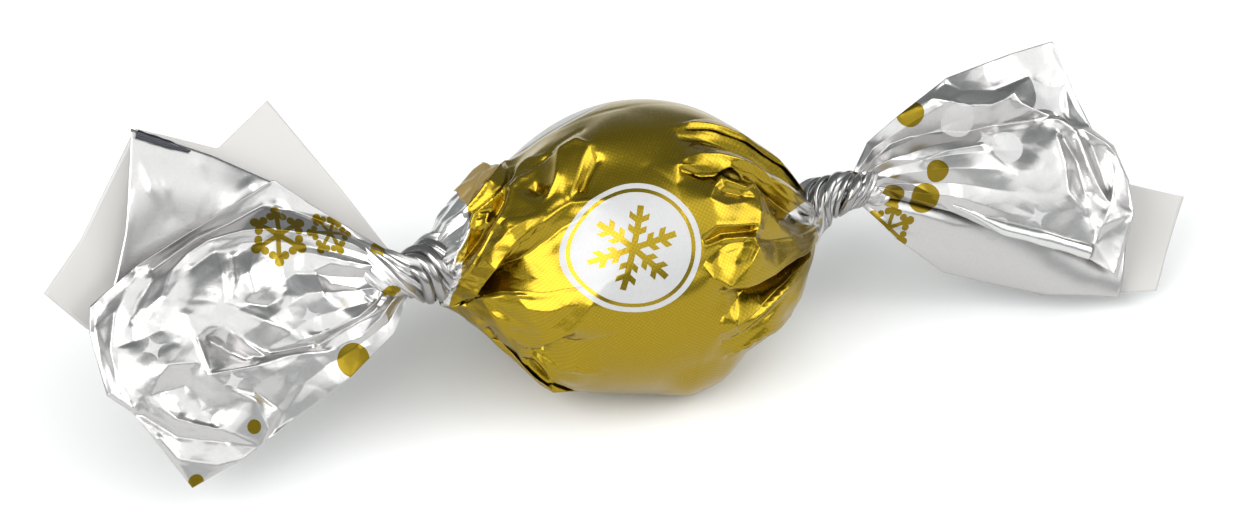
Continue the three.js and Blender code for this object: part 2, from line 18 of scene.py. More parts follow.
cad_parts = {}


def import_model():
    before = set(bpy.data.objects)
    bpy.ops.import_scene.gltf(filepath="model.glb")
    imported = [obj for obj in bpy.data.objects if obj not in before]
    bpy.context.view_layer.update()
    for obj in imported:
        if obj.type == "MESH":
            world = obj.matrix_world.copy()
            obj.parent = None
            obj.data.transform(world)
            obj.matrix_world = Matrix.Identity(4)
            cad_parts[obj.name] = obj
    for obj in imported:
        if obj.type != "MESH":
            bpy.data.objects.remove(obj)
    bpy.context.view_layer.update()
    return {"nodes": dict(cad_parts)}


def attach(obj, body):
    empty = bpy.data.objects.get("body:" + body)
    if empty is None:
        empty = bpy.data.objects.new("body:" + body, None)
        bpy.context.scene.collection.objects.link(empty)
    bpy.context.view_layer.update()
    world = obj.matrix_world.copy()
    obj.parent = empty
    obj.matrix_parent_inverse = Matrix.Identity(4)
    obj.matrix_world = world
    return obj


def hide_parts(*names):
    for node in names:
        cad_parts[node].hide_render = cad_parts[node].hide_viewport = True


MM = 0.001  # a millimetre in metres
TINY = 1e-9  # keeps a division from failing on a length of nothing
SLACK = 1e-6  # smallest area of a facet, and share by which a point may lie outside it
BALL_RADIUS = 13.5
BODY = "root"
PRINT_MAP = "Print"

MATH = "ShaderNodeMath"
VECTOR_MATH = "ShaderNodeVectorMath"
ATTRIBUTE = "GeometryNodeInputNamedAttribute"

# round lobes on a snowflake's arm: place along it, place beside it and radius, as shares of its length
SNOWFLAKE_LOBES = ((0.88, 0.0, 0.17), (0.72, 0.0, 0.16), (0.66, 0.21, 0.14), (0.0, 0.0, 0.15))
# forks of an ice crystal's arm: where they start and how far they reach, as shares of its length
FROST_FORKS = ((0.36, 0.2), (0.64, 0.22))

log = logging.getLogger("praline")

Array = np.ndarray
Spot = tuple[float, float]
Path = tuple[Spot, ...]
Creases = tuple[tuple[tuple[float, float, float], ...], ...]
Relief = Callable[[Array, Array, Array, Array], tuple[Array, Array]]
Socket = bpy.types.NodeSocket
Tree = bpy.types.NodeTree
Material = bpy.types.Material
Piece = bpy.types.Object
Value = float | Socket
Colour = tuple | Socket

class Slot(Enum):
    """Names of the gold, silver and film material slots."""

    GOLD = "gold_foil"
    SILVER = "silver_foil"
    FILM = "clear_film"


# ---- Shapes of creased foil ----


def smooth_step(low: float, high: float, value: Array) -> Array:
    """Rises smoothly from 0 where the value is at low to 1 where it is at high."""
    t = np.clip((value - low) / (high - low), 0, 1)
    return t * t * (3 - 2 * t)


def facet_wave(t: Array) -> Array:
    """A wave with straight flanks between 0 and 1, which gives the flat facets of creased foil."""
    return np.abs(np.mod(t, 2) - 1)


def crumple(x: Array, y: Array, size: float) -> Array:
    """Coarse crumpling: straight-sided waves of two sizes that cross each other.

    Args:
        x: Places along the foil, in mm.
        y: Places across the foil, in mm.
        size: Length of a facet, in mm.

    Returns:
        A height of about -1.2 to 1.2 for each place.
    """
    a = facet_wave((0.9 * x + 0.5 * y) / size + 0.35 * np.sin(1.3 * y / size))
    b = facet_wave((-0.55 * x + 0.95 * y) / size + 0.3 + 0.4 * np.sin(1.1 * x / size))
    c = facet_wave((1.6 * x - 0.7 * y) / size + 0.8)
    return a + b + 0.5 * c - 1.25


@dataclass(frozen=True)
class Facets:
    """Fine crumpling: flat three-sided facets over a lattice of random heights."""

    size: float
    seed: int
    stretch: float = 1.0
    cells: int = 64  # after so many cells the lattice starts again
    skew: float = 0.366  # leans the cells so that their halves are even triangles
    waver: float = 0.35  # how far the lattice's lines swing, in cells

    def height(self, x: Array, y: Array) -> Array:
        """Height of the facets.

        Args:
            x: Places along the facets' long way, in mm.
            y: Places across it, in mm.

        Returns:
            A height from -1 to 1 for each place.
        """
        table = np.random.default_rng(self.seed).uniform(-1, 1, (self.cells, self.cells))
        u = x / (self.size * self.stretch) + self.waver * np.sin(1.7 * y / self.size)
        v = y / self.size + self.waver * np.sin(1.3 * x / (self.size * self.stretch) + 1)
        lean = self.skew * (u + v)
        u, v = u + lean, v + lean
        i, j = np.floor(u).astype(int), np.floor(v).astype(int)
        fu, fv = u - i, v - j

        def corner(di: int, dj: int) -> Array:
            """Random height of a corner of the lattice's cell."""
            return table[(i + di) % self.cells, (j + dj) % self.cells]

        low, high = corner(0, 0), corner(1, 1)
        lower = low + fu * (corner(1, 0) - low) + fv * (high - corner(1, 0))
        upper = low + fv * (corner(0, 1) - low) + fu * (high - corner(0, 1))
        return np.where(fu > fv, lower, upper)


def soften(grid: Array, times: int) -> Array:
    """Rounds the crests of a grid of heights.

    Args:
        grid: The heights.
        times: How often each height is mixed with its neighbours.

    Returns:
        The softer heights.
    """
    for _ in range(times):
        for axis in (0, 1):
            wide = np.pad(grid, [(1, 1) if axis == k else (0, 0) for k in (0, 1)], mode="edge")
            low = wide[:-2] if axis == 0 else wide[:, :-2]
            high = wide[2:] if axis == 0 else wide[:, 2:]
            grid = (low + 2 * grid + high) / 4
    return grid


@dataclass(frozen=True)
class FoldNet:
    """Creased foil: crease lines with a height at each corner, and nearly flat facets stretched between them.

    Each line is a row of corners (x, y, height) on the flat foil. Lines that share a corner meet there.
    """

    lines: Creases
    weld: float = 0.02  # corners nearer than this are one corner
    reach: float = 0.05  # a line that passes nearer than this takes part in a crossing
    crease_width: float = 0.45  # how far from its line a crease stays crisp
    crisp_passes: int = 1  # how often the heights are softened at the lines
    soft_passes: int = 30  # how often they are softened between them

    def facets(self) -> tuple[Array, Array]:
        """Stretches three-sided facets between the lines.

        Returns:
            The corners with their heights, and three corner numbers for each facet.
        """
        spots: list[tuple[float, float, float]] = []
        spans: list[tuple[int, int]] = []
        for line in self.lines:
            spans += [(i, i + 1) for i in range(len(spots), len(spots) + len(line) - 1)]
            spots += line
        flat = [Vector(spot[:2]) for spot in spots]
        corners, _, faces, sources, _, _ = delaunay_2d_cdt(flat, spans, [], 0, self.weld, True)
        rows = []
        for corner, source in zip(corners, sources):
            height = spots[source[0]][2] if source else self.crossing(corner, spots, spans)
            rows.append((corner.x, corner.y, height))
        return np.array(rows), np.array([face[:3] for face in faces])

    def crossing(self, corner: Vector, spots: list, spans: list) -> float:
        """Height where two lines cross.

        Args:
            corner: The crossing.
            spots: Corners of the lines.
            spans: Pairs of corner numbers.

        Returns:
            The mean height of the lines there.
        """
        heights = []
        for i, j in spans:
            a, b = Vector(spots[i][:2]), Vector(spots[j][:2])
            way = b - a
            t = (corner - a).dot(way) / max(way.length_squared, TINY)
            if 0 <= t <= 1 and (a + t * way - corner).length < self.reach:
                heights.append(spots[i][2] + t * (spots[j][2] - spots[i][2]))
        return sum(heights) / max(len(heights), 1)

    def crispness(self, x: Array, y: Array) -> Array:
        """How near each place is to a crease line.

        Args:
            x: Places on the flat foil.
            y: Places across it.

        Returns:
            1 on a line, and falling to 0 away from it.
        """
        best = np.full(x.shape, np.inf)
        for line in self.lines:
            for (ax, ay, _), (bx, by, _) in zip(line, line[1:]):
                dx, dy = bx - ax, by - ay
                t = np.clip(((x - ax) * dx + (y - ay) * dy) / max(dx * dx + dy * dy, TINY), 0, 1)
                best = np.minimum(best, np.hypot(x - ax - t * dx, y - ay - t * dy))
        return np.exp(-((best / self.crease_width) ** 2))

    def height(self, x: Array, y: Array) -> Array:
        """Height of the creased foil, 0 outside the net: crisp at the crease lines and soft between them.

        Args:
            x: Places on the flat foil.
            y: Places across it, in the same measure as the lines.

        Returns:
            The heights, in mm.
        """
        corners, facets = self.facets()
        result = np.zeros(x.size)
        for i, j, k in facets:
            (ax, ay, ah), (bx, by, bh), (cx, cy, ch) = corners[i], corners[j], corners[k]
            area = (bx - ax) * (cy - ay) - (cx - ax) * (by - ay)
            if abs(area) < SLACK:
                continue
            near = (x >= min(ax, bx, cx)) & (x <= max(ax, bx, cx))
            near &= (y >= min(ay, by, cy)) & (y <= max(ay, by, cy))
            px, py = x[near] - ax, y[near] - ay
            s = (px * (cy - ay) - py * (cx - ax)) / area
            t = (py * (bx - ax) - px * (by - ay)) / area
            inside = (s >= -SLACK) & (t >= -SLACK) & (s + t <= 1 + SLACK)
            spot = np.flatnonzero(near.ravel())[inside]
            result[spot] = ah + s[inside] * (bh - ah) + t[inside] * (ch - ah)
        result = result.reshape(x.shape)
        crisp = self.crispness(x, y)
        return crisp * soften(result, self.crisp_passes) + (1 - crisp) * soften(result, self.soft_passes)


def smooth_line(stations: Array, t: Array) -> Array:
    """A smooth curve through stations.

    Args:
        stations: One row of numbers for each station.
        t: Places along it, from 0 to 1.

    Returns:
        One row of numbers for each place.
    """
    rows = np.asarray(stations, float)
    padded = np.vstack([2 * rows[0] - rows[1], rows, 2 * rows[-1] - rows[-2]])
    place = np.clip(t, 0, 1) * (len(rows) - 1)
    i = np.minimum(place.astype(int), len(rows) - 2)
    f = (place - i)[:, None]
    a, b, c, d = padded[i], padded[i + 1], padded[i + 2], padded[i + 3]
    return 0.5 * (2 * b + (c - a) * f + (2 * a - 5 * b + 4 * c - d) * f**2 + (3 * b - a - 3 * c + d) * f**3)


# ---- Meshes ----


def make_object(name: str, points: Array, faces: list, corner_uv: Array | None = None) -> Piece:
    """Makes a smooth-shaded object at the origin.

    Args:
        name: The piece's name.
        points: Its vertices, in mm.
        faces: Its faces, as lists of vertex numbers.
        corner_uv: Place of each face corner on the flat foil, in mm.

    Returns:
        The object, in the scene.
    """
    mesh = bpy.data.meshes.new(name)
    mesh.from_pydata((points * MM).tolist(), [], faces)
    if corner_uv is not None:
        layer = mesh.uv_layers.new(name=PRINT_MAP)
        layer.data.foreach_set("uv", np.ascontiguousarray(corner_uv, dtype=np.float32).ravel())
    mesh.polygons.foreach_set("use_smooth", np.ones(len(mesh.polygons), dtype=bool))
    mesh.update()
    obj = bpy.data.objects.new(name, mesh)
    bpy.context.scene.collection.objects.link(obj)
    return obj


def loft(name: str, rings: Array, flat: Array) -> Piece:
    """A closed tube through rings.

    Args:
        name: The piece's name.
        rings: Points as (ring, side, axis), in mm, anticlockwise as seen from the last ring.
        flat: The same points on the flat foil as (ring, side + 1, axis), with one more column to close it.

    Returns:
        The object.
    """
    count, sides = rings.shape[:2]
    points = np.vstack([rings.reshape(-1, 3), rings[0].mean(0), rings[-1].mean(0)])
    i, j = np.meshgrid(np.arange(count - 1), np.arange(sides), indexing="ij")
    i, j = i.ravel(), j.ravel()
    k = (j + 1) % sides
    quads = np.stack([i * sides + j, i * sides + k, (i + 1) * sides + k, (i + 1) * sides + j], 1)
    quad_uv = np.stack([flat[i, j], flat[i, j + 1], flat[i + 1, j + 1], flat[i + 1, j]], 1)
    j = np.arange(sides)
    k = (j + 1) % sides
    first, last = count * sides, count * sides + 1
    near = np.stack([np.full(sides, first), k, j], 1)
    far = np.stack([np.full(sides, last), (count - 1) * sides + j, (count - 1) * sides + k], 1)
    near_uv = np.stack([flat[0, j], flat[0, j + 1], flat[0, j]], 1)
    far_uv = np.stack([flat[-1, j], flat[-1, j], flat[-1, j + 1]], 1)
    corner_uv = np.concatenate([part.reshape(-1, 2) for part in (quad_uv, near_uv, far_uv)])
    return make_object(name, points, [*quads.tolist(), *near.tolist(), *far.tolist()], corner_uv)


def thin_sheet(name: str, top: Array, bottom: Array, flat: Array) -> Piece:
    """A closed thin sheet between two faces.

    Args:
        name: The piece's name.
        top: Points of the upper face as (across, down, axis), in mm.
        bottom: Points of the lower face.
        flat: The same places on the flat foil.

    Returns:
        The object.
    """
    rows, columns = top.shape[:2]
    index = np.arange(rows * columns).reshape(rows, columns)
    a, b, c, d = (part.ravel() for part in (index[:-1, :-1], index[:-1, 1:], index[1:, 1:], index[1:, :-1]))
    upper = np.stack([a, b, c, d], 1)
    edge = np.concatenate([index[0, :-1], index[:-1, -1], index[-1, :0:-1], index[:0:-1, 0]])
    after = np.roll(edge, -1)
    count = rows * columns
    rim = np.stack([after, edge, edge + count, after + count], 1)
    faces = np.vstack([upper, upper[:, ::-1] + count, rim])
    points = np.vstack([top.reshape(-1, 3), bottom.reshape(-1, 3)])
    spots = flat.reshape(-1, 2)
    middle = points[upper[:, 0]]
    across = np.cross(points[upper[:, 1]] - middle, points[upper[:, 3]] - middle)
    outward = middle - points[upper[:, 0] + count]
    if np.sum(across * outward) < 0:  # the faces look inwards, so they are turned round
        faces = faces[:, ::-1]
    return make_object(name, points, faces.tolist(), spots[faces % count].reshape(-1, 2))


# ---- Materials ----


def linear(colour: str) -> tuple[float, float, float, float]:
    """Turns an sRGB hex colour such as "#C8A41C" to linear values with full alpha."""
    parts = [int(colour[i : i + 2], 16) / 255 for i in (1, 3, 5)]
    return (*(c / 12.92 if c <= 0.04045 else ((c + 0.055) / 1.055) ** 2.4 for c in parts), 1.0)


def add_node(tree: Tree, kind: str, inputs: dict | None = None, **settings) -> bpy.types.Node:
    """Adds a node with its settings and links.

    Args:
        tree: The node tree.
        kind: The node's type name.
        inputs: Values or sockets for its inputs, by name or number.
        **settings: The node's own settings.

    Returns:
        The node.
    """
    node = tree.nodes.new(kind)
    for key, value in settings.items():
        setattr(node, key, value)
    for key, value in (inputs or {}).items():
        if isinstance(value, bpy.types.NodeSocket):
            tree.links.new(value, node.inputs[key])
        else:
            node.inputs[key].default_value = value
    return node


def new_material(name: str) -> tuple[Material, Tree]:
    """An empty node material.

    Args:
        name: Its name.

    Returns:
        The material and its node tree.
    """
    material = bpy.data.materials.new(name)
    material.use_nodes = True
    material.node_tree.nodes.clear()
    return material, material.node_tree


def end_with(tree: Tree, inputs: dict) -> None:
    """Ends a material's tree with a surface, whose inputs are values or sockets by name."""
    surface = add_node(tree, "ShaderNodeBsdfPrincipled", inputs)
    add_node(tree, "ShaderNodeOutputMaterial", {0: surface.outputs[0]})


@dataclass
class Wiring:
    """A node tree in the making."""

    tree: Tree

    def add(self, kind: str, *values: Value | tuple | str, **settings: str) -> Socket:
        """Adds a node with its first inputs filled in order, and gives its first output."""
        return add_node(self.tree, kind, dict(enumerate(values)), **settings).outputs[0]


@dataclass
class PrintPlate(Wiring):
    """Draws shapes on flat foil as masks from 0 to 1, from the print map in mm."""

    place: Socket = field(init=False)

    def __post_init__(self) -> None:
        """Reads the print map."""
        self.place = self.add("ShaderNodeUVMap", uv_map=PRINT_MAP)

    def any_of(self, masks: list[Socket]) -> Socket:
        """Joins masks into one.

        Args:
            masks: One mask or more.

        Returns:
            The mask of what any of them covers.
        """
        total = masks[0]
        for mask in masks[1:]:
            total = self.add(MATH, total, mask, operation="MAXIMUM")
        return total

    def between(self, value: Socket, low: Value, high: Value) -> Socket:
        """Where a value lies between two others.

        Args:
            value: The value.
            low: What it has to be above.
            high: What it has to be below.

        Returns:
            Its mask.
        """
        above = self.add(MATH, value, low, operation="GREATER_THAN")
        below = self.add(MATH, value, high, operation="LESS_THAN")
        return self.add(MATH, above, below, operation="MULTIPLY")

    def squares(self, x: Socket, y: Socket) -> Socket:
        """The sum of the squares of two lengths."""
        first = self.add(MATH, x, x, operation="MULTIPLY")
        return self.add(MATH, y, y, first, operation="MULTIPLY_ADD")

    def local(self, centre: Spot, turn: float = 0.0) -> tuple[Socket, Socket]:
        """Place relative to a centre.

        Args:
            centre: The centre on the flat foil, in mm.
            turn: How far the motif is turned, in degrees.

        Returns:
            The place's two parts.
        """
        moved = self.add(VECTOR_MATH, self.place, (-centre[0], -centre[1], 0.0), operation="ADD")
        inputs = {"Vector": moved, "Angle": -math.radians(turn)}
        turned = add_node(self.tree, "ShaderNodeVectorRotate", inputs, rotation_type="Z_AXIS")
        parts = add_node(self.tree, "ShaderNodeSeparateXYZ", {0: turned.outputs[0]})
        return parts.outputs[0], parts.outputs[1]

    def radius(self, centre: Spot) -> Socket:
        """Distance to a centre, in mm."""
        inputs = {0: self.place, 1: (*centre, 0.0)}
        return add_node(self.tree, VECTOR_MATH, inputs, operation="DISTANCE").outputs["Value"]

    def dot(self, centre: Spot, size: float) -> Socket:
        """A round dot of a radius in mm."""
        return self.add(MATH, self.radius(centre), size, operation="LESS_THAN")

    def star(self, centre: Spot, size: float, turn: float = 0.0) -> Socket:
        """A four-pointed star with hollow sides.

        Args:
            centre: Its centre, in mm.
            size: Length of its points, in mm.
            turn: How far it is turned, in degrees.

        Returns:
            Its mask.
        """
        roots = []
        for part in self.local(centre, turn):
            length = self.add(MATH, part, operation="ABSOLUTE")
            roots.append(self.add(MATH, length, operation="SQRT"))
        return self.add(MATH, self.add(MATH, *roots, operation="ADD"), math.sqrt(size), operation="LESS_THAN")

    def sector(self, centre: Spot, turn: float) -> tuple[Socket, Socket]:
        """Folds the plane into one of six equal arms.

        Args:
            centre: The centre on the flat foil, in mm.
            turn: How far the arms are turned, in degrees.

        Returns:
            The place along the nearest arm and its distance from it, in mm.
        """
        x, y = self.local(centre, turn)
        half = math.pi / 6
        angle = self.add(MATH, y, x, operation="ARCTAN2")
        off_arm = self.add(MATH, angle, half, -half, operation="WRAP")
        folded = self.add(MATH, off_arm, operation="ABSOLUTE")
        far = self.add(MATH, self.squares(x, y), operation="SQRT")
        along = self.add(MATH, far, self.add(MATH, folded, operation="COSINE"), operation="MULTIPLY")
        across = self.add(MATH, far, self.add(MATH, folded, operation="SINE"), operation="MULTIPLY")
        return along, across

    def bar(self, along: Socket, across: Socket, span: tuple[float, float], half_width: float) -> Socket:
        """A straight bar over a span along it; the place across it is never negative. All is in mm."""
        slim = self.add(MATH, across, half_width, operation="LESS_THAN")
        return self.add(MATH, slim, self.between(along, *span), operation="MULTIPLY")

    def snowflake(self, centre: Spot, size: float, turn: float = 0.0) -> Socket:
        """A six-armed snowflake, each arm ending in round lobes.

        Args:
            centre: Its centre, in mm.
            size: Length of its arms, in mm.
            turn: How far it is turned, in degrees.

        Returns:
            Its mask.
        """
        along, across = self.sector(centre, turn)
        marks = [self.bar(along, across, (0.0, size), 0.08 * size)]
        for reach, offset, width in SNOWFLAKE_LOBES:
            gap_x = self.add(MATH, along, reach * size, operation="SUBTRACT")
            gap_y = self.add(MATH, across, offset * size, operation="SUBTRACT")
            square = self.squares(gap_x, gap_y)
            marks.append(self.add(MATH, square, (width * size) ** 2, operation="LESS_THAN"))
        return self.any_of(marks)

    def frost(self, centre: Spot, size: float, turn: float = 0.0) -> Socket:
        """A six-armed ice crystal with forked arms.

        Args:
            centre: Its centre, in mm.
            size: Length of its arms, in mm.
            turn: How far it is turned, in degrees.

        Returns:
            Its mask.
        """
        along, across = self.sector(centre, turn)
        marks = [self.bar(along, across, (0.0, size), 0.07 * size)]
        slant = self.add(MATH, along, self.add(MATH, across, 0.6, operation="MULTIPLY"), operation="SUBTRACT")
        for start, reach in FROST_FORKS:
            off = self.add(MATH, slant, start * size, operation="SUBTRACT")
            off = self.add(MATH, off, operation="ABSOLUTE")
            marks.append(self.bar(across, off, (-1.0, reach * size), 0.075 * size))
        return self.any_of(marks)


@dataclass(frozen=True)
class FoilFinish:
    """Rolled aluminium foil under clear film: satin metal below a glossy coat, with ink printed on it.

    To the eye each facet is a soft mirror, bright or dark by its slope, under the thin glint of the film.
    """

    name: str
    metal: str
    ink: str = "#7A6612"
    white: str = "#A8A6A6"
    roughness: float = 0.31
    coat: float = 0.15
    coat_roughness: float = 0.12
    grain: float = 0.22  # size of the rolling grain, in mm
    grain_depth: float = 0.02  # height of the grain, in mm
    grain_strength: float = 0.35  # how much of that height tilts the surface
    grain_shade: float = 0.16  # how much the grain changes the colour
    grain_gloss: float = 0.12  # how much the grain changes the roughness
    screen: float = 0.3  # pitch of the printed dot screen; the real one is about 0.2 mm and wouldn't show
    screen_turn: float = 38.0  # of the rows of dots, in degrees
    screen_depth: float = 0.0  # how much darker the gaps between its dots are
    white_cover: float = 0.85  # how much of the metal white ink hides
    white_roughness: float = 0.15  # what white ink adds to the roughness

    def marks(self, plate: PrintPlate) -> tuple[list[Socket], list[Socket]]:
        """Masks of what is printed in ink and in white: nothing, on plain foil."""
        return [], []

    def mixed(self, plate: PrintPlate, share: Value, a: Colour, b: Colour, blend: str) -> Socket:
        """Lays colour b over colour a by a share from 0 to 1."""
        inputs = {0: share, 6: a, 7: b}
        return add_node(plate.tree, "ShaderNodeMix", inputs, data_type="RGBA", blend_type=blend).outputs[2]

    def inked(self, plate: PrintPlate) -> Colour:
        """Colour of the ink, with its dot screen where it has one.

        Args:
            plate: The plate of the print.

        Returns:
            The colour or its socket.
        """
        full = linear(self.ink)
        if not self.screen_depth:
            return full
        turn = (0, 0, math.radians(self.screen_turn))
        turned = {"Vector": plate.place, "Rotation": turn, "Scale": (1 / self.screen,) * 3}
        spread = add_node(plate.tree, "ShaderNodeMapping", turned).outputs[0]
        rows = {"Vector": spread, "Scale": 1.0, "Randomness": 0.0}
        dots = add_node(plate.tree, "ShaderNodeTexVoronoi", rows, voronoi_dimensions="2D").outputs["Distance"]
        dark = tuple(c * (1 - self.screen_depth) for c in full[:3]) + (1.0,)
        gaps = plate.add(MATH, dots, 1.4, operation="MULTIPLY")  # the distance itself reaches about 0.7
        return self.mixed(plate, gaps, full, dark, "MIX")

    def make(self) -> Material:
        """Makes the material.

        Returns:
            The material.
        """
        material, tree = new_material(self.name)
        plate = PrintPlate(tree)
        ink, white = self.marks(plate)
        place = add_node(tree, "ShaderNodeTexCoord").outputs["Object"]
        noise = {"Vector": place, "Scale": 1 / (self.grain * MM), "Detail": 3}
        grain = add_node(tree, "ShaderNodeTexNoise", noise).outputs[0]
        shade = plate.add(MATH, grain, self.grain_shade, 1 - self.grain_shade / 2, operation="MULTIPLY_ADD")
        low = self.roughness - self.grain_gloss / 2
        rough = plate.add(MATH, grain, self.grain_gloss, low, operation="MULTIPLY_ADD")
        colour, metallic = linear(self.metal), 1.0
        if ink:
            colour = self.mixed(plate, plate.any_of(ink), colour, self.inked(plate), "MIX")
        if white:
            cover = plate.any_of(white)
            colour = self.mixed(plate, cover, colour, linear(self.white), "MIX")
            metallic = plate.add(MATH, cover, -self.white_cover, 1.0, operation="MULTIPLY_ADD")
            rough = plate.add(MATH, cover, self.white_roughness, rough, operation="MULTIPLY_ADD")
        height = {"Height": grain, "Distance": self.grain_depth * MM, "Strength": self.grain_strength}
        surface = {
            "Base Color": self.mixed(plate, 1.0, colour, shade, "MULTIPLY"),
            "Metallic": metallic,
            "Roughness": rough,
            "Normal": add_node(tree, "ShaderNodeBump", height).outputs[0],
            "Coat Weight": self.coat,
            "Coat Roughness": self.coat_roughness,
        }
        end_with(tree, surface)
        return material


@dataclass(frozen=True)
class GoldFoil(FoilFinish):
    """Foil under lemon-gold lacquer that stops short of the twists, with white badges.

    To the eye it is a warm mirror that runs from lemon to deep brown in the folds, with silver ends and
    nearly matt badges.
    """

    ball_radius: float = BALL_RADIUS
    left_edge: float = -16.9  # middle of the lacquer's left edge, in mm
    left_swing: float = 1.9  # how far that edge swings to both sides
    swing_start: float = 32.0  # where the swing starts, in degrees round the ball
    right_edge: float = 16.8
    notch: tuple[float, float, float] = (10.8, 4.0, 3.6)  # of the right edge: place, half width and depth
    badges: Path = ((-3.2, 39.0), (-4.4, 139.0), (-3.2, 239.0))  # (x in mm, angle in degrees)
    badge_radius: float = 6.13
    gilt_ring: tuple[float, float] = (5.25, 5.62)  # inner and outer radius of the badge's thin ring
    crystal: tuple[float, float] = (4.0, 8.0)  # size and turn of the badge's ice crystal

    def marks(self, plate: PrintPlate) -> tuple[list[Socket], list[Socket]]:
        """Masks of the lacquer and of the badges.

        Args:
            plate: The plate to draw them with.

        Returns:
            The masks in ink and those in white.
        """
        parts = add_node(plate.tree, "ShaderNodeSeparateXYZ", {0: plate.place})
        x, arc = parts.outputs[0], parts.outputs[1]
        turn = plate.add(MATH, arc, self.ball_radius, operation="DIVIDE")
        turn = plate.add(MATH, turn, math.radians(self.swing_start), operation="SUBTRACT")
        swing = plate.add(MATH, turn, operation="SINE")
        left = plate.add(MATH, swing, self.left_swing, self.left_edge, operation="MULTIPLY_ADD")
        middle, half, depth = self.notch
        aside = plate.add(MATH, plate.add(MATH, arc, middle, operation="SUBTRACT"), half, operation="DIVIDE")
        notch = plate.add(MATH, 1.0, plate.add(MATH, aside, operation="ABSOLUTE"), operation="SUBTRACT")
        notch = plate.add(MATH, notch, 0.0, operation="MAXIMUM")
        right = plate.add(MATH, notch, -depth, self.right_edge, operation="MULTIPLY_ADD")
        return [plate.between(x, left, right)], [self.badge(plate, *badge) for badge in self.badges]

    def badge(self, plate: PrintPlate, x: float, angle: float) -> Socket:
        """A white disc, with a thin ring and an ice crystal left out of it.

        Args:
            plate: The plate to draw it with.
            x: Its middle along the ball, in mm.
            angle: Its middle round the ball, in degrees.

        Returns:
            Its mask.
        """
        centre = (x, self.ball_radius * math.radians(angle))
        ring = plate.between(plate.radius(centre), *self.gilt_ring)
        gilt = plate.any_of([ring, plate.frost(centre, *self.crystal)])
        rest = plate.add(MATH, 1.0, gilt, operation="SUBTRACT")
        return plate.add(MATH, plate.dot(centre, self.badge_radius), rest, operation="MULTIPLY")


@dataclass(frozen=True)
class SilverFoil(FoilFinish):
    """Bare silver foil with gold dots and snowflakes, and white stars and dots.

    To the eye it is a grey satin mirror, on which the gold marks are warm and the white ones nearly matt. A
    mark is (centre, size) or (centre, size, turn), in mm and degrees.
    """

    gold_dots: tuple[tuple[Spot, float], ...] = ()
    snowflakes: tuple[tuple[Spot, float, float], ...] = ()
    stars: tuple[tuple[Spot, float, float], ...] = ()
    white_dots: tuple[tuple[Spot, float], ...] = ()

    def marks(self, plate: PrintPlate) -> tuple[list[Socket], list[Socket]]:
        """Masks of the dots, snowflakes and stars.

        Args:
            plate: The plate to draw them with.

        Returns:
            The masks in ink and those in white.
        """
        ink = [plate.dot(*mark) for mark in self.gold_dots]
        ink += [plate.snowflake(*mark) for mark in self.snowflakes]
        white = [plate.star(*mark) for mark in self.stars]
        white += [plate.dot(*mark) for mark in self.white_dots]
        return ink, white


@dataclass(frozen=True)
class FilmFinish:
    """Clear polypropylene film: to the eye a glossy, faintly milky sheet that shows what is behind it."""

    name: str
    tint: str
    alpha: float
    roughness: float = 0.18
    haze_size: float = 11.111  # of the patches where the film is a little duller, in mm
    haze: float = 0.1  # how much the roughness changes between them

    def make(self) -> Material:
        """Makes the material.

        Returns:
            The material.
        """
        material, tree = new_material(self.name)
        place = add_node(tree, "ShaderNodeTexCoord").outputs["Object"]
        patches = {"Vector": place, "Scale": 1 / (self.haze_size * MM), "Detail": 2}
        haze = add_node(tree, "ShaderNodeTexNoise", patches).outputs[0]
        low = self.roughness - self.haze / 2
        rough = Wiring(tree).add(MATH, haze, self.haze, low, operation="MULTIPLY_ADD")
        surface = {"Base Color": linear(self.tint), "Roughness": rough, "Alpha": self.alpha, "IOR": 1.5}
        end_with(tree, surface)
        return material


# gold lacquer, whose dot screen shows in the bright parts
GOLD = GoldFoil(
    "Gold lacquered aluminium foil",
    "#D6D5D4",
    "#9E851D",
    white="#A3A2A2",
    roughness=0.25,
    screen_depth=0.3,
)
# bare foil of the two fans, with what is printed on each
LEFT_SILVER = SilverFoil(
    "Silver aluminium foil left",
    "#B5B3B2",
    gold_dots=(((-6.4, -6.7), 1.55), ((-16.6, -10.8), 0.64), ((-22.5, -14.5), 0.7), ((-1.8, 2.6), 0.9)),
    snowflakes=(((-10.9, 5.5), 2.7, 20.0), ((-6.2, 4.9), 2.1, 50.0)),
    stars=(((-17.7, -2), 1.5, 8), ((-24, -2.2), 1.4, 8), ((-17.7, -6.6), 1.3, 8), ((-9.7, -2.2), 1.2, 8)),
)
RIGHT_SILVER = SilverFoil(
    "Silver aluminium foil right",
    "#B5B3B2",
    gold_dots=(((6, 5.8), 1.25), ((7, 0), 1.0), ((5.6, -2.1), 1.3), ((2.7, -1.3), 1.0), ((-0.3, 0.4), 0.8)),
    snowflakes=(((2.2, -4.2), 2.3, 10.0),),
    stars=(((19.3, 4.7), 3.4, 25.0), ((12.3, 2.0), 1.3, 10.0), ((15.6, -6.0), 1.3, 10.0)),
    white_dots=(((14.2, 0.9), 1.5), ((12.0, -6.2), 0.9), ((10.2, 4.2), 1.5)),
)
# gathered foil without print: glossier, and its darker metal is painted shade for the twists, which lie half
# in their own shade
SHADED_STRAND_SILVER = FoilFinish("Silver aluminium foil plain in painted shade", "#918F8E", roughness=0.2)
# rolled hems: the right one's lighter metal is painted light, where it would catch the lamps, and the left
# one's dark metal is painted shade
SHADED_LEFT_HEM_SILVER = FoilFinish("Silver aluminium foil left hem in painted shade", "#4E4F54", roughness=0.2)
LIT_RIGHT_HEM_SILVER = FoilFinish("Silver aluminium foil right hem in painted light", "#C9C8C7", roughness=0.2)
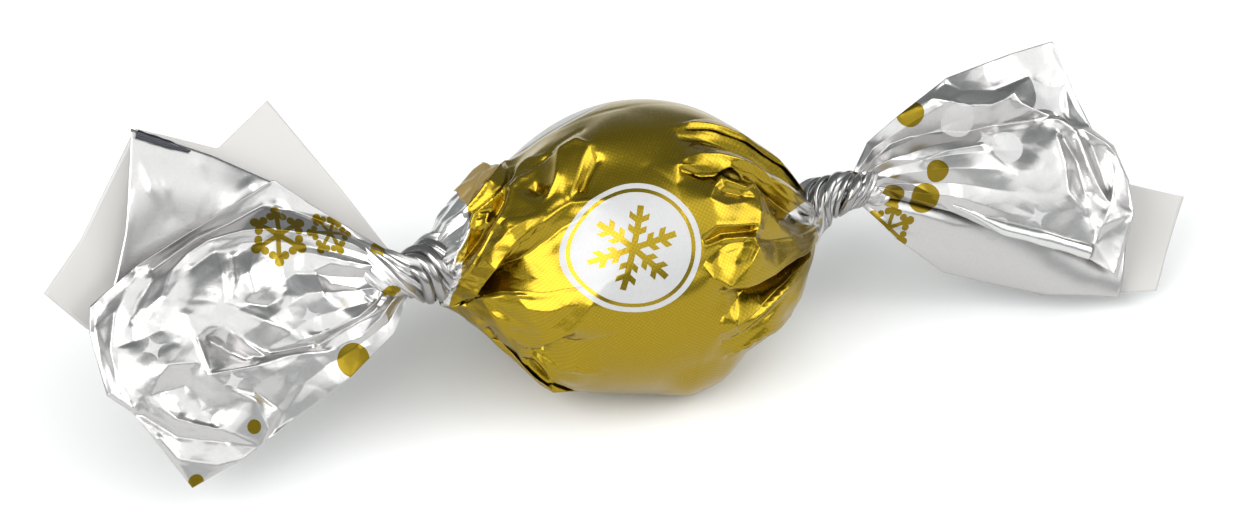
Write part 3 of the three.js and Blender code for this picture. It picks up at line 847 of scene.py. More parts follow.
# film on its own, through which the table shows, and film that lies doubled over the gold: opaque brown, the
# gold's colour under the film darkened as painted shade
CLEAR_FILM = FilmFinish("Clear polypropylene film", "#B4B1AE", 0.8)
SHADED_DOUBLED_FILM = FilmFinish("Clear film doubled over gold foil in painted shade", "#7C683A", 1.0, 0.3)


# ---- Shapes grown by node trees ----


@dataclass(frozen=True)
class NodeShape:
    """A shape that a node tree grows along a path of edges."""

    name: str
    sizes: dict[str, float]

    def new_tree(self) -> tuple[Tree, bpy.types.Node]:
        """Makes a tree with one named input for each size.

        Returns:
            The tree and its input node.
        """
        tree = bpy.data.node_groups.new(self.name, "GeometryNodeTree")
        tree.interface.new_socket("Geometry", in_out="INPUT", socket_type="NodeSocketGeometry")
        tree.interface.new_socket("Geometry", in_out="OUTPUT", socket_type="NodeSocketGeometry")
        for size in self.sizes:
            tree.interface.new_socket(size, in_out="INPUT", socket_type="NodeSocketFloat")
        return tree, add_node(tree, "NodeGroupInput")

    @staticmethod
    def sweep(tree: Tree, path: Socket, profile: Socket, girth: Socket, finish: Material) -> None:
        """Sweeps a profile along paths, with closed ends, and ends the tree.

        Args:
            tree: The tree.
            path: The paths.
            profile: The profile, of radius 1 mm.
            girth: How much it is scaled along the path.
            finish: The finish.
        """
        inputs = {"Curve": path, "Profile Curve": profile, "Scale": girth, "Fill Caps": True}
        swept = add_node(tree, "GeometryNodeCurveToMesh", inputs).outputs[0]
        smooth = add_node(tree, "GeometryNodeSetShadeSmooth", {"Geometry": swept}).outputs[0]
        real = add_node(tree, "GeometryNodeRealizeInstances", {"Geometry": smooth}).outputs[0]
        dressed = add_node(tree, "GeometryNodeSetMaterial", {"Geometry": real, "Material": finish}).outputs[0]
        add_node(tree, "NodeGroupOutput", {"Geometry": dressed})

    def grow(self, tree: Tree, points: Array, edges: list, fields: dict[str, Array]) -> Piece:
        """Grows the shape into a plain mesh.

        Args:
            tree: The finished tree.
            points: Points of the paths, in mm.
            edges: Pairs of point numbers.
            fields: Attributes of the points: rows of one or three numbers.

        Returns:
            The object.
        """
        source = bpy.data.meshes.new(f"{self.name}_path")
        source.from_pydata((points * MM).tolist(), edges, [])
        for key, values in fields.items():
            kind, slot = ("FLOAT_VECTOR", "vector") if values.ndim == 2 else ("FLOAT", "value")
            layer = source.attributes.new(key, kind, "POINT")
            layer.data.foreach_set(slot, np.ascontiguousarray(values, dtype=np.float32).ravel())
        carrier = bpy.data.objects.new(f"{self.name}_path", source)
        bpy.context.scene.collection.objects.link(carrier)
        modifier = carrier.modifiers.new(self.name, "NODES")
        modifier.node_group = tree
        for item in tree.interface.items_tree:
            if item.in_out == "INPUT" and item.name in self.sizes:
                modifier[item.identifier] = self.sizes[item.name]
        carrier.update_tag()
        graph = bpy.context.evaluated_depsgraph_get()
        mesh = bpy.data.meshes.new_from_object(carrier.evaluated_get(graph))
        mesh.name = self.name
        carrier.modifiers.remove(modifier)
        bpy.data.objects.remove(carrier)
        obj = bpy.data.objects.new(self.name, mesh)
        bpy.context.scene.collection.objects.link(obj)
        return obj


@dataclass(frozen=True)
class TwistedStrands(NodeShape):
    """Strands of gathered foil that wind round a neck."""

    sides: int = 10

    def make(self, centre: Array, wide: Array, deep: Array, finish: Material) -> Piece:
        """Makes the strands.

        Args:
            centre: Points of the neck, in mm.
            wide: From the middle of the neck to its side, in mm.
            deep: From the middle of the neck to its front, in mm.
            finish: Their finish.

        Returns:
            The object.
        """
        tree, source = self.new_tree()
        wires = Wiring(tree)
        path = add_node(tree, "GeometryNodeMeshToCurve", {"Mesh": source.outputs["Geometry"]}).outputs[0]
        inputs = {"Geometry": path, "Amount": source.outputs["Strands"]}
        copies = add_node(tree, "GeometryNodeDuplicateElements", inputs, domain="SPLINE")
        share = add_node(tree, "GeometryNodeSplineParameter").outputs["Factor"]
        index = copies.outputs["Duplicate Index"]
        step = wires.add(MATH, index, source.outputs["Strands"], operation="DIVIDE")
        turn = wires.add(MATH, share, source.outputs["Turns"], step, operation="MULTIPLY_ADD")
        # each strand starts a little off its even place, and is a little thicker or thinner than the others
        uneven = wires.add(MATH, wires.add(MATH, step, 40.0, operation="MULTIPLY"), operation="SINE")
        turn = wires.add(MATH, uneven, 0.1, turn, operation="MULTIPLY_ADD")
        angle = wires.add(MATH, turn, 2 * math.pi, operation="MULTIPLY")
        lively = wires.add(MATH, wires.add(MATH, step, 23.0, operation="MULTIPLY"), operation="SINE")
        lively = wires.add(MATH, lively, 0.35, 1.0, operation="MULTIPLY_ADD")
        parts = []
        for key, wave in (("wide", "COSINE"), ("deep", "SINE")):
            arm = wires.add(ATTRIBUTE, key, data_type="FLOAT_VECTOR")
            scaled = {0: arm, "Scale": wires.add(MATH, angle, operation=wave)}
            parts.append(add_node(tree, VECTOR_MATH, scaled, operation="SCALE").outputs[0])
        offset = wires.add(VECTOR_MATH, *parts, operation="ADD")
        moved = {"Geometry": copies.outputs["Geometry"], "Offset": offset}
        wound = add_node(tree, "GeometryNodeSetPosition", moved).outputs[0]
        circle = {"Resolution": self.sides, "Radius": MM}
        profile = add_node(tree, "GeometryNodeCurvePrimitiveCircle", circle).outputs[0]
        girth = wires.add(ATTRIBUTE, "girth", data_type="FLOAT")
        thick = wires.add(MATH, girth, source.outputs["Radius"], operation="MULTIPLY")
        self.sweep(tree, wound, profile, wires.add(MATH, thick, lively, operation="MULTIPLY"), finish)
        count = len(centre)
        taper = np.sin(np.pi * np.linspace(0.02, 0.98, count)) ** 0.6
        fields = {"wide": wide * MM, "deep": deep * MM, "girth": taper}
        return self.grow(tree, centre, [(i, i + 1) for i in range(count - 1)], fields)


@dataclass(frozen=True)
class RolledHem(NodeShape):
    """An edge of foil rolled up into a loose scroll."""

    turns: float = 1.6
    wall: float = 0.14  # thickness of the foil, as a share of the scroll's radius
    first_angle: float = -2.4  # where the scroll starts, in radians
    tightening: float = 0.55  # how much nearer to its middle the scroll ends
    steps: int = 30

    def profile(self) -> Array:
        """The scroll's outline: its outer face and then its inner face.

        Returns:
            The outline's points, of radius 1 mm.
        """
        t = np.linspace(0, 1, self.steps)
        angle, reach = 2 * np.pi * self.turns * t + self.first_angle, 1 - self.tightening * t**2
        outer = np.stack([reach * np.cos(angle), reach * np.sin(angle), 0 * t], -1)
        inner = outer * (1 - self.wall / reach)[:, None]
        return np.vstack([outer, inner[::-1]])

    def make(self, centre: Array, finish: Material) -> Piece:
        """Makes the hem.

        Args:
            centre: Points of its middle, in mm.
            finish: Its finish.

        Returns:
            The object.
        """
        tree, source = self.new_tree()
        wires = Wiring(tree)
        scroll = wires.add(ATTRIBUTE, "scroll", data_type="FLOAT")
        inputs = {"Geometry": source.outputs["Geometry"], "Selection": scroll}
        parts = add_node(tree, "GeometryNodeSeparateGeometry", inputs, domain="POINT")
        profile, path = (wires.add("GeometryNodeMeshToCurve", part) for part in parts.outputs[:2])
        girth = wires.add(ATTRIBUTE, "girth", data_type="FLOAT")
        girth = wires.add(MATH, girth, source.outputs["Radius"], operation="MULTIPLY")
        self.sweep(tree, path, profile, girth, finish)
        outline = self.profile()
        count, side = len(centre), len(outline)
        edges = [(i, i + 1) for i in range(count - 1)]
        edges += [(count + i, count + (i + 1) % side) for i in range(side)]
        t = np.linspace(0, 1, count)
        # the scroll opens from a quarter of its size to the full one, a little unevenly
        opening = 0.25 + 0.75 * smooth_step(0, 0.5, t) + 0.06 * np.sin(21 * t)
        fields = {
            "girth": np.concatenate([opening, np.ones(side)]),
            "scroll": np.concatenate([np.zeros(count), np.ones(side)]),
        }
        return self.grow(tree, np.vstack([centre, outline]), edges, fields)


# ---- Pieces ----


def hand_over(obj: Piece, node: str) -> None:
    """Fixes a finished piece to the frame.

    Args:
        obj: The piece.
        node: The solid it stands for.
    """
    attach(obj, BODY)
    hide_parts(node)
    log.info("%s: %d faces", obj.name, len(obj.data.polygons))


@dataclass(frozen=True)
class Patch:
    """The outline of a sheet, as seen square on to its fan from the twist at (0, 0), in mm.

    The upper and lower edges run outwards from the twist, and the outer edge joins their ends.
    """

    upper: Path
    lower: Path
    outer: Path

    @staticmethod
    def along(path: Path, t: Array) -> Array:
        """Points on a path of corners.

        Args:
            path: The corners.
            t: Shares of the path's length.

        Returns:
            One point for each share.
        """
        corners = np.asarray(path, float)
        lengths = np.concatenate([[0], np.cumsum(np.hypot(*np.diff(corners, axis=0).T))])
        return np.stack([np.interp(t * lengths[-1], lengths, corners[:, axis]) for axis in (0, 1)], -1)

    def points(self, u: Array, v: Array) -> Array:
        """Points of the surface that fills the outline.

        Args:
            u: Shares outwards from the twist.
            v: Shares from the upper edge to the lower one.

        Returns:
            The points, in mm.
        """
        top, bottom, far = self.along(self.upper, u), self.along(self.lower, u), self.along(self.outer, v)
        p00, p10 = np.array(self.upper[0]), np.array(self.upper[-1])
        p01, p11 = np.array(self.lower[0]), np.array(self.lower[-1])
        u, v = u[..., None], v[..., None]
        near = p00 + v * (p01 - p00)
        corners = (1 - u) * (1 - v) * p00 + u * (1 - v) * p10 + (1 - u) * v * p01 + u * v * p11
        return (1 - v) * top + v * bottom + (1 - u) * near + u * far - corners


@dataclass(frozen=True)
class Lap:
    """A fold of the wrapper that laps over the foil beside it.

    It is rooted in the foil along one line and has a free edge along another. Both run from the twist
    inwards, as (x in mm, angle in degrees).
    """

    name: str
    root: Path
    edge: Path
    rise: float
    seed: int
    steps: tuple[int, int] = (170, 50)
    depth: float = 0.25  # how far it sinks in at its root and at its inner tip, in mm
    facet_height: float = 0.08

    def grid(self) -> tuple[Array, Array, Array, Array]:
        """Spreads the fold's mesh.

        Returns:
            Its places in mm and degrees, and the shares along the edge and from the root to the edge.
        """
        u, v = np.meshgrid(np.linspace(0, 1, self.steps[0]), np.linspace(0, 1, self.steps[1]), indexing="ij")
        root, edge = Patch.along(self.root, u), Patch.along(self.edge, u)
        place = root + v[..., None] * (edge - root)
        return place[..., 0], place[..., 1], u, v

    def height(self, x: Array, arc: Array, u: Array, v: Array) -> Array:
        """Height of the fold over the foil below it.

        Args:
            x: Places along X, in mm.
            arc: Places round the ball, in mm.
            u: Shares along the edge.
            v: Shares from the root to the edge.

        Returns:
            The heights, in mm.
        """
        full = 1 - smooth_step(0.6, 1, u)
        swell = self.rise * full * np.sin(np.pi / 2 * v) ** 1.3
        facets = self.facet_height * Facets(1.8, self.seed, 1.6).height(x, arc)
        sunk = self.depth * (1 - smooth_step(0, 0.25, v * full))
        return swell + facets * smooth_step(0, 0.2, v) - sunk


@dataclass
class WrappedBall:
    """The ball in gold foil, whose ends run out as pleated cones towards the twists.

    The corners of its folds are (x in mm, angle in degrees, height in mm).
    """

    radius: float = BALL_RADIUS
    height: float = 12.6  # of its axis over the table
    half_length: float = 17.6
    shift: float = 0.6  # how far its fullest part lies from the middle
    ends: tuple[float, float] = (-19.4, 17.0)
    cone_span: tuple[float, float] = (-9.5, -13.5)  # where the left cone starts and where it is full
    neck_x: float = -17.3
    neck_radius: float = 4.0
    rings: int = 305
    sides: int = 322
    first_angle: float = -141.0  # where the mesh starts round the ball: on the side away from the badge
    pleats: int = 9
    pleat_depth: float = 0.75
    crease_gain: float = 1.6  # by which the heights of the folds are scaled
    flat_way: tuple[float, float, float] = (-0.19, -0.585, -0.788)  # from the middle to the side pressed flat
    flat_reach: float = 13.45  # from the middle to that side
    cheek_x: float = 3.8  # middle of the bulge that fills that side out
    cheek_rise: float = 0.95
    lap_thickness: float = 0.1
    gold: FoilFinish = GOLD
    folds: Creases = (
        # free edge of the lower lobe, and the dark hollow above it
        ((-18.4, -40, 0), (-16.9, -13, 0.1), (-15.9, 6, 0.1), (-14.4, 14, 0.1), (-12.3, 20, 0.2),
         (-9.7, 24, 0.2)),
        ((-9.7, 24, 0.2), (-7.8, 25, 0.2), (-6.1, 26, 0.2), (-4.2, 30, 0.1)),
        ((-17.6, -14, -0.6), (-16.2, 11, -1.2), (-15.1, 23, -1.6), (-14.2, 31, -1.6), (-13.4, 37, -1.2)),
        ((-14.6, 19, -0.9), (-13.1, 27, -0.6), (-11.4, 30, -0.2), (-8.6, 32, 0.0), (-5.6, 34, 0.0)),
        ((-13.6, 34, -0.9), (-12.2, 43, -0.6), (-10.6, 51, -0.4), (-8.6, 56, -0.3), (-6.4, 57, -0.1)),
        # band that sweeps from the left tip up to the middle, over the same hollow
        ((-18.4, -20, 0.2), (-17.1, -4, 0.3), (-15.9, 17, 0.4), (-14.9, 31, 0.4), (-13.7, 42, 0.4),
         (-12.5, 51, 0.4)),
        ((-12.5, 51, 0.4), (-11, 58, 0.5), (-8.5, 63, 0.5), (-7.2, 64, 0.4), (-5.1, 62, 0.1), (-4, 60, 0)),
        ((-17.3, 10, 0.4), (-16.1, 31, 0.5), (-14.6, 48, 0.7), (-12.8, 57, 0.8), (-11.3, 62, 0.7),
         (-9.9, 71, 0.5)),
        ((-9.9, 71, 0.5), (-8.8, 72, 0.5), (-8.1, 67, 0.5)),
        ((-18, 5, 0.3), (-17.2, 22, 0.6), (-15.9, 43, 0.8), (-14.5, 59, 0.8), (-13.3, 67, 0.9),
         (-12.7, 72, 0.9)),
        ((-12.7, 72, 0.9), (-11.9, 82, 0.9), (-10.8, 89, 0.8), (-8.8, 92, 0.4)),
        # sharp pleats of the upper left shoulder, with brown valleys between them
        ((-17.5, 24, -0.4), (-16.4, 42, -0.6), (-15.4, 56, -0.7), (-14.6, 64, -0.6)),
        ((-15, 65, -0.1), (-14.4, 67, 0.3), (-13.9, 73, 0.5), (-14.8, 74, 0.2)),
        ((-14.1, 69, -0.6), (-13.1, 76, -0.6), (-12.2, 83, -0.5)),
        ((-17.8, 31, 0.5), (-17.1, 49, 0.7), (-16.3, 60, 0.7), (-15.2, 78, 0.7)),
        ((-16.7, 60, 0.1), (-15.7, 79, 0.1)),
        ((-16.1, 66, 0.6), (-15, 78, 0.8), (-13.4, 81, 0.8), (-12.3, 85, 0.7), (-11.4, 91, 0.6),
         (-10.5, 98, 0.6)),
        ((-10.5, 98, 0.6), (-9.4, 104, 0.4), (-8.9, 99, 0.4), (-8, 95, 0.5), (-6.7, 96, 0.3),
         (-4.3, 99, 0.1)),
        ((-9.7, 97, 0.3), (-9, 94, 0.1), (-7.6, 92, 0.1)),
        ((-14.6, 85, -0.4), (-12.7, 88, -0.5), (-11.6, 94, -0.5), (-10.4, 112, -0.4)),
        ((-15.9, 88, 0.3), (-15, 91, 0.5), (-14.1, 93, 0.6), (-13, 97, 0.6), (-11.3, 112, 0.5),
         (-10.2, 126, 0.3)),
        ((-15.8, 104, -0.1), (-14.2, 106, 0.0), (-12.3, 116, 0.0), (-11, 130, 0.0)),
        ((-15.5, 124, 0.2), (-13.8, 128, 0.2), (-12.3, 134, 0.1)),
        # bright hump beside the middle, below the smooth cap
        ((-9.1, 72, 0.64), (-8, 78, 0.96), (-7, 89, 1.12), (-5.5, 89, 1.12), (-4.4, 85, 0.8),
         (-5.2, 81, 0.8), (-6.7, 71, 0.48)),
        ((-6.7, 71, 0.48), (-7.4, 67, 0.48)),
        ((-9.6, 82, -0.16), (-9.2, 77, -0.16)),
        ((-6.2, 69, -0.32), (-5.3, 74, -0.16), (-4.2, 79, 0)),
        # big fold of the upper right: the cap's lip over a hollow leaf, and the leaf's own lower lip
        ((3.1, 87, 0.2), (3.9, 87, 0.2), (5, 89, 0.2), (6.4, 89.5, 0.2), (8.2, 89, 0.2), (9.9, 89.5, 0.2),
         (12.3, 91, 0.1)),
        ((12.3, 91, 0.1), (14.3, 93, 0.1), (17, 95, 0)),
        ((3.8, 82, -0.2), (6.4, 83.5, -0.5), (8.2, 83.5, -0.8), (9.9, 84, -1), (12.3, 84, -1.1),
         (16.6, 80, -0.8)),
        ((3.4, 78, 0), (4.6, 75, 0.1), (5.6, 72, 0.2), (6.5, 70, 0.4), (7.7, 68, 0.5), (9, 66.5, 0.6),
         (10.4, 65, 0.6)),
        ((10.4, 65, 0.6), (12.4, 60, 0.6), (16.8, 55, 0.3)),
        ((2.7, 70, 0.1), (4.9, 70, 0.5), (6.9, 69, 0.5), (7.6, 66, 0.3), (9.7, 65, 0.3), (11.6, 62, 0.3),
         (13.6, 55, 0.2)),
        ((2.6, 68, 0.3), (3.9, 66, 0.2), (5.2, 65, 0.2)),
        ((2.9, 66, -0.1), (4.7, 62.5, -0.2), (6, 62, -0.1)),
        # crumpled facets between that fold and the middle
        ((6.2, 61, 0.5), (5.4, 57, 0.5), (4.5, 52, 0.6), (5.9, 48.5, 0.6), (7.6, 49, 0.5), (9.2, 51, 0.5),
         (9.7, 55, 0.5)),
        ((6.2, 61, 0.5), (6.8, 58, 0.7), (8.3, 55.5, 0.7), (9.4, 58, 0.7), (9.7, 55, 0.5)),
        ((6.4, 54, 0.1), (7.6, 52.5, 0.1)),
        ((7.4, 60.5, 0.0), (8.3, 59, 0.0), (8.8, 58.5, 0.0)),
        ((8.9, 62, -0.5), (10.3, 60, -0.9), (12.2, 54, -1.0), (13.4, 48, -0.9)),
        ((9.9, 55, 0.5), (9.4, 44, 0.8), (8.8, 37, 0.7)),
        ((10.3, 55, 0.2), (10.4, 43, 0.6), (9.4, 36, 0.4)),
        ((11, 50, -0.4), (11.4, 44, -0.6)),
        ((10.7, 43, 0.3), (11.2, 38, 0.5), (10.7, 33, 0.2)),
        ((3.1, 38, 0.1), (4.5, 41, 0.5), (6.2, 40, 0.5), (8.7, 39, 0.6)),
        ((3.3, 36, -0.1), (5.1, 38, -0.1), (8.1, 36.5, -0.1)),
        # lobe of the lower right, the layer below it and the deep furrow under that
        ((3.2, 35, 0.2), (5.1, 36, 0.4), (7.3, 34.5, 0.5), (8.1, 34, 0.8), (8.4, 30, 0.9), (7, 24, 0.6)),
        ((7.3, 34, 0.4), (6.7, 26, 0.4)),
        ((4.4, 32, 0.3), (5.9, 27, 0.1)),
        ((8.8, 33, 0.2), (10.5, 29, 0.0), (14.5, 26, -0.2)),
        ((2.6, 28, 0.1), (3.4, 23, 0.3), (4.7, 18, 0.4), (6.8, 16, 0.4), (7.7, 15, 0.3), (9.6, 15.5, 0.2),
         (11.1, 17, 0.2)),
        ((11.1, 17, 0.2), (12.9, 17, 0.1), (15.1, 14, 0.1), (17, 10, 0)),
        ((4.4, 15, -0.1), (6.4, 12, -0.8), (8.4, 11, -1.5), (10.6, 11.5, -2), (12.6, 12.5, -2.2),
         (14.8, 11.5, -2)),
        ((14.8, 11.5, -2), (16.8, 9, -1.2)),
        ((3.7, -4, 0.2), (5.3, 0, 0.4), (8, 4.5, 0.4), (10, 7.5, 0.3), (12, 9, 0.2), (15, 8, 0.1)),
        ((6.2, -4, 0), (8.6, 0.5, -1), (10.7, 4, -1.8), (12.6, 6, -2), (14.8, 5.5, -1.8), (16.6, 4.5, -1.2)),
        ((5.8, -9, 0.2), (8.8, -4, 0.4), (11, -1, 0.5), (12.8, 1, 0.4), (15, 1, 0.2), (16.6, -1, 0)),
        ((5.1, -18, 0.32), (6.8, -16, 0.8), (8.8, -14, 0.96), (11.1, -20, 0.96), (12.4, -26, 0.8)),
        ((5.4, -20, 0.0), (6.9, -21, -0.1), (10, -27, -0.1)),
        ((4.5, -10, 0.0), (8.3, -8, 0.1), (11.4, -6, 0.1)),
        # small folds of the lower left
        ((-16.1, -13, 0.51), (-15.3, -5, 0.68), (-14.8, -12, 0.85), (-13.9, -16, 0.85), (-13, -18, 0.85),
         (-12, -12, 0.85)),
        ((-12, -12, 0.85), (-11.4, -5, 0.85), (-9.7, 4, 0.85), (-8.7, 9, 0.68), (-7.6, 18, 0.51)),
        ((-16.6, -42, 0.51), (-16, -28, 0.68), (-15.3, -24, 0.34), (-15, -37, 0)),
        ((-14, -20, 0.17), (-13, -30, 0.68), (-12.6, -36, 0.85), (-11.6, -35, 0.85), (-10.2, -44, 1.02),
         (-8.2, -46, 0.51)),
        ((-12.1, -24, 0.68), (-11.4, -25, 0.85), (-10.3, -34, 1.02), (-8.1, -44, 0.51)),
        ((-12, -31, -0.17), (-10.4, -39, 0)),
        ((-11.9, -21, 0.17), (-10.1, -22, 0.68), (-8.9, -19, 0.85), (-8.1, -21, 0.51), (-6.2, -21, 0)),
        ((-11.4, -16, -0.68), (-11, -11, -0.51), (-10, -4, -0.17), (-8.6, -3, 0)),
        # smooth foil all round
        ((-8.6, -3, 0), (-5, 4, 0), (-1, 14, 0), (2, 4, 0), (2, -30, 0), (8, -48, 0)),
        ((8, -48, 0), (15, -50, 0), (18, -20, 0), (18, 30, 0), (18, 70, 0), (17.5, 112, 0), (8, 112, 0),
         (0, 108, 0)),
        ((0, 108, 0), (-5, 112, 0), (-8, 125, 0), (-9, 150, 0), (-16, 165, 0), (-19.5, 120, 0),
         (-19.5, 60, 0)),
        ((-19.5, 60, 0), (-19.5, 10, 0), (-19, -60, 0), (-12, -70, 0), (-4, -52, 0), (-3, -20, 0),
         (-5, 4, 0)),
        ((-4, 20, 0), (-3.4, 40, 0), (-3, 60, 0), (0, 70, 0), (2, 60, 0), (2.2, 44, 0), (2, 26, 0),
         (-4, 20, 0)),
    )
    laps: tuple[Lap, ...] = (
        Lap(
            "lower_left_lobe",
            root=((-18.6, -62), (-16.8, -46), (-15.2, -26), (-13, -10), (-10.5, 2), (-8.4, 12), (-6.2, 22),
                  (-4, 29)),
            edge=((-18.8, -30), (-16.9, -11), (-15.9, 8), (-14.4, 16), (-12.3, 22), (-9.7, 26), (-6.1, 27),
                  (-4, 31)),
            rise=0.75,
            seed=3,
        ),
        Lap(
            "lower_left_tuck",
            root=((-14.8, -42), (-13.2, -47), (-11.4, -52), (-9, -53), (-6.2, -46)),
            edge=((-14.8, -40), (-13.4, -35), (-12.4, -36), (-10.2, -42), (-8.2, -45), (-6.0, -44)),
            rise=0.3,
            seed=10,
        ),
        Lap(
            "left_band",
            root=((-18.6, 0), (-17.2, 20), (-15.9, 41), (-14.5, 58), (-12.9, 68), (-11.2, 75), (-8.8, 76),
                  (-5, 65)),
            edge=((-18.8, -30), (-17.1, -12), (-15.9, 13), (-14.9, 28), (-13.7, 39), (-11, 56), (-8.5, 61),
                  (-5, 62)),
            rise=0.9,
            seed=4,
        ),
        Lap(
            "cap_lip",
            root=((17.2, 114), (13.5, 110), (11.4, 106), (8.3, 100), (5.4, 94), (2.8, 88)),
            edge=((17.2, 95), (14.3, 91), (12.3, 89), (9.9, 87.5), (8.2, 87), (6.4, 87), (5, 86.5),
                  (3.9, 86), (2.8, 86)),
            rise=0.6,
            seed=5,
        ),
        Lap(
            "right_leaf",
            root=((17, 80), (13, 84), (10.5, 86), (8, 86), (5, 85), (2.4, 76)),
            edge=((17.2, 44), (13.6, 52), (11.6, 60), (10.7, 61), (9.7, 63), (7.4, 64), (6, 62.5),
                  (4, 63.5), (2.2, 69)),
            rise=0.8,
            seed=6,
        ),
        Lap(
            "right_lobe",
            root=((17, 32), (12.7, 32), (9.5, 34), (7.3, 35), (5.1, 36), (3.0, 35)),
            edge=((17, 9), (15.1, 12), (12.9, 16), (11.1, 16), (9.6, 14.5), (7.7, 14), (4.7, 17),
                  (3.4, 22), (2.4, 30)),
            rise=1.0,
            seed=7,
        ),
        Lap(
            "right_under_fold",
            root=((17, 12), (12.9, 13), (10.6, 12), (8.2, 12), (6, 11), (3.8, 5), (2.9, -4)),
            edge=((17, 6), (15.3, 7), (12, 8.5), (10, 7), (8, 4), (5.3, -1), (3.2, -6)),
            rise=0.7,
            seed=8,
        ),
    )

    # the flap's opaque brown is the gold under film, darkened as painted shade
    flap_finish: FilmFinish = SHADED_DOUBLED_FILM
    flap: Lap = Lap(
        "film_flap",
        root=((-15.2, 88), (-14.3, 97), (-12.8, 101), (-11.3, 112), (-10, 122)),
        edge=((-15.6, 118), (-13.9, 124), (-12.4, 123), (-12.2, 131), (-10.0, 137)),
        rise=0.9,
        seed=9,
        steps=(60, 30),
    )

    def base_radius(self, x: Array) -> Array:
        """Radius of the foil round its axis before it is creased.

        Args:
            x: Places along X, in mm.

        Returns:
            The radii, in mm.
        """
        leaning = x - self.shift * (1 - (x / self.half_length) ** 2)
        spindle = self.radius * np.maximum(1 - (leaning / self.half_length) ** 2, 0.02) ** 0.75
        cone = np.maximum(self.neck_radius + 0.95 * (x - self.neck_x), 2.2)
        return spindle + smooth_step(*self.cone_span, x) * (cone - spindle)

    def axis_point(self, x: Array) -> Array:
        """Middle of the foil: the left cone lifts up and back, and the right end drops a little.

        Args:
            x: Places along X, in mm.

        Returns:
            One point for each place, in mm.
        """
        climb = np.minimum(1.5 + 0.22 * (-15.1 - x), 2.0 - 0.3 * (self.neck_x - x))
        lift = smooth_step(*self.cone_span, x) * climb
        drop = smooth_step(7, 17.4, x)
        return np.stack([x, 0.6 * lift - 0.5 * drop, self.height + 0.8 * lift - 0.6 * drop], -1)

    def gather(self, x: Array, angle: Array, radius: Array) -> Array:
        """Height of the pleats that gather the foil into the twists, low on the side of the badge.

        Args:
            x: Places along X, in mm.
            angle: Angles round the ball, in degrees.
            radius: Radii of the foil there, in mm.

        Returns:
            The heights, in mm.
        """
        strength = smooth_step(6, 14, np.abs(x)) * np.minimum(radius / 5, 1)
        shown = 0.25 + 0.75 * smooth_step(90, 130, np.abs(angle - 37))
        turn = self.pleats * np.radians(angle) / 2 + 0.09 * self.pleats * x
        fine = facet_wave(angle / 13 + 0.2 * np.abs(x) + 0.3 * np.sin(angle / 17)) - 0.5
        close = smooth_step(13.5, 16.5, np.abs(x))
        return self.pleat_depth * strength * (shown * (0.5 - np.abs(np.sin(turn))) + 0.5 * close * fine)

    def outward(self, angle: Array) -> Array:
        """Directions away from the ball's axis."""
        turn = np.radians(angle)
        return np.stack([np.zeros_like(turn), -np.cos(turn), np.sin(turn)], -1)

    def relief(self, x: Array, angle: Array, radius: Array) -> Array:
        """Height of the creases and pleats.

        Args:
            x: Places along X, in mm.
            angle: Angles round the ball, in degrees.
            radius: Radii of the foil there, in mm.

        Returns:
            The heights, in mm.
        """
        lines = tuple(tuple((a, self.radius * math.radians(b), h) for a, b, h in line) for line in self.folds)
        arc = self.radius * np.radians(angle)
        ends = smooth_step(4, 13, np.abs(x))
        far_side = smooth_step(100, 140, np.abs(angle - 40))
        rough = 0.25 * ends * far_side * crumple(x, arc, 2.6)
        rough += 0.1 * ends * Facets(1.7, 11, 1.8).height(x, arc)
        return self.crease_gain * FoldNet(lines).height(x, arc) + self.gather(x, angle, radius) + rough

    def surface(self, x: Array, angle: Array) -> Array:
        """Points of the creased foil.

        Args:
            x: Places along X, in mm.
            angle: Angles round the ball, in degrees.

        Returns:
            The points, in mm.
        """
        radius = self.base_radius(x)
        outward = self.outward(angle)
        height = np.maximum(radius + self.relief(x, angle, radius), 0.6 * radius)
        flat_way = np.array(self.flat_way)
        flat_way /= np.linalg.norm(flat_way)
        facing = smooth_step(0.8, 0.98, outward @ flat_way)
        cheek = self.cheek_rise * facing * (1 - smooth_step(1.5, 5, np.abs(x - self.cheek_x)))
        points = self.axis_point(x) + (height + cheek)[..., None] * outward
        beyond = (points - np.array([0, 0, self.height])) @ flat_way - self.flat_reach
        points -= np.maximum(beyond, 0)[..., None] * flat_way
        points[..., 2] = np.maximum(points[..., 2], 0)
        return points

    def wrapper(self, finish: Material) -> Piece:
        """Makes the ball's own foil, with a finer mesh at its ends and on the side of the badge.

        Args:
            finish: Its finish.

        Returns:
            The dressed piece.
        """
        t = np.linspace(-1, 1, self.rings)
        t = 0.82 * t + 0.18 * np.sin(np.pi / 2 * t)
        share = np.linspace(0, 1, self.sides + 1)
        angle = self.first_angle + 360 * (share + 0.09 * np.sin(2 * np.pi * share))
        left, right = self.ends
        right = right + 0.5 * np.sin(np.radians(angle - 39))
        x = np.where(t[:, None] < 0, -t[:, None] * left, t[:, None] * right[None])
        angles = np.broadcast_to(angle, x.shape)
        rings = self.surface(x[:, ::-1], angles[:, ::-1])
        flat = np.stack([x, self.radius * np.radians(angles)], -1)[:, ::-1]
        obj = loft("gold_wrapper", rings[:, :-1], flat)
        obj.data.materials.append(finish)
        return obj

    def lap_over(self, lap: Lap, finish: Material) -> Piece:
        """Makes a fold that laps over the foil beside it.

        Args:
            lap: The fold.
            finish: Its finish.

        Returns:
            The dressed piece.
        """
        x, angle, u, v = lap.grid()
        radius = self.base_radius(x)
        arc = self.radius * np.radians(angle)
        height = radius + self.relief(x, angle, radius) + lap.height(x, arc, u, v)
        outward = self.outward(angle)
        top = self.axis_point(x) + height[..., None] * outward
        obj = thin_sheet(lap.name, top, top - self.lap_thickness * outward, np.stack([x, arc], -1))
        obj.data.materials.append(finish)
        return obj

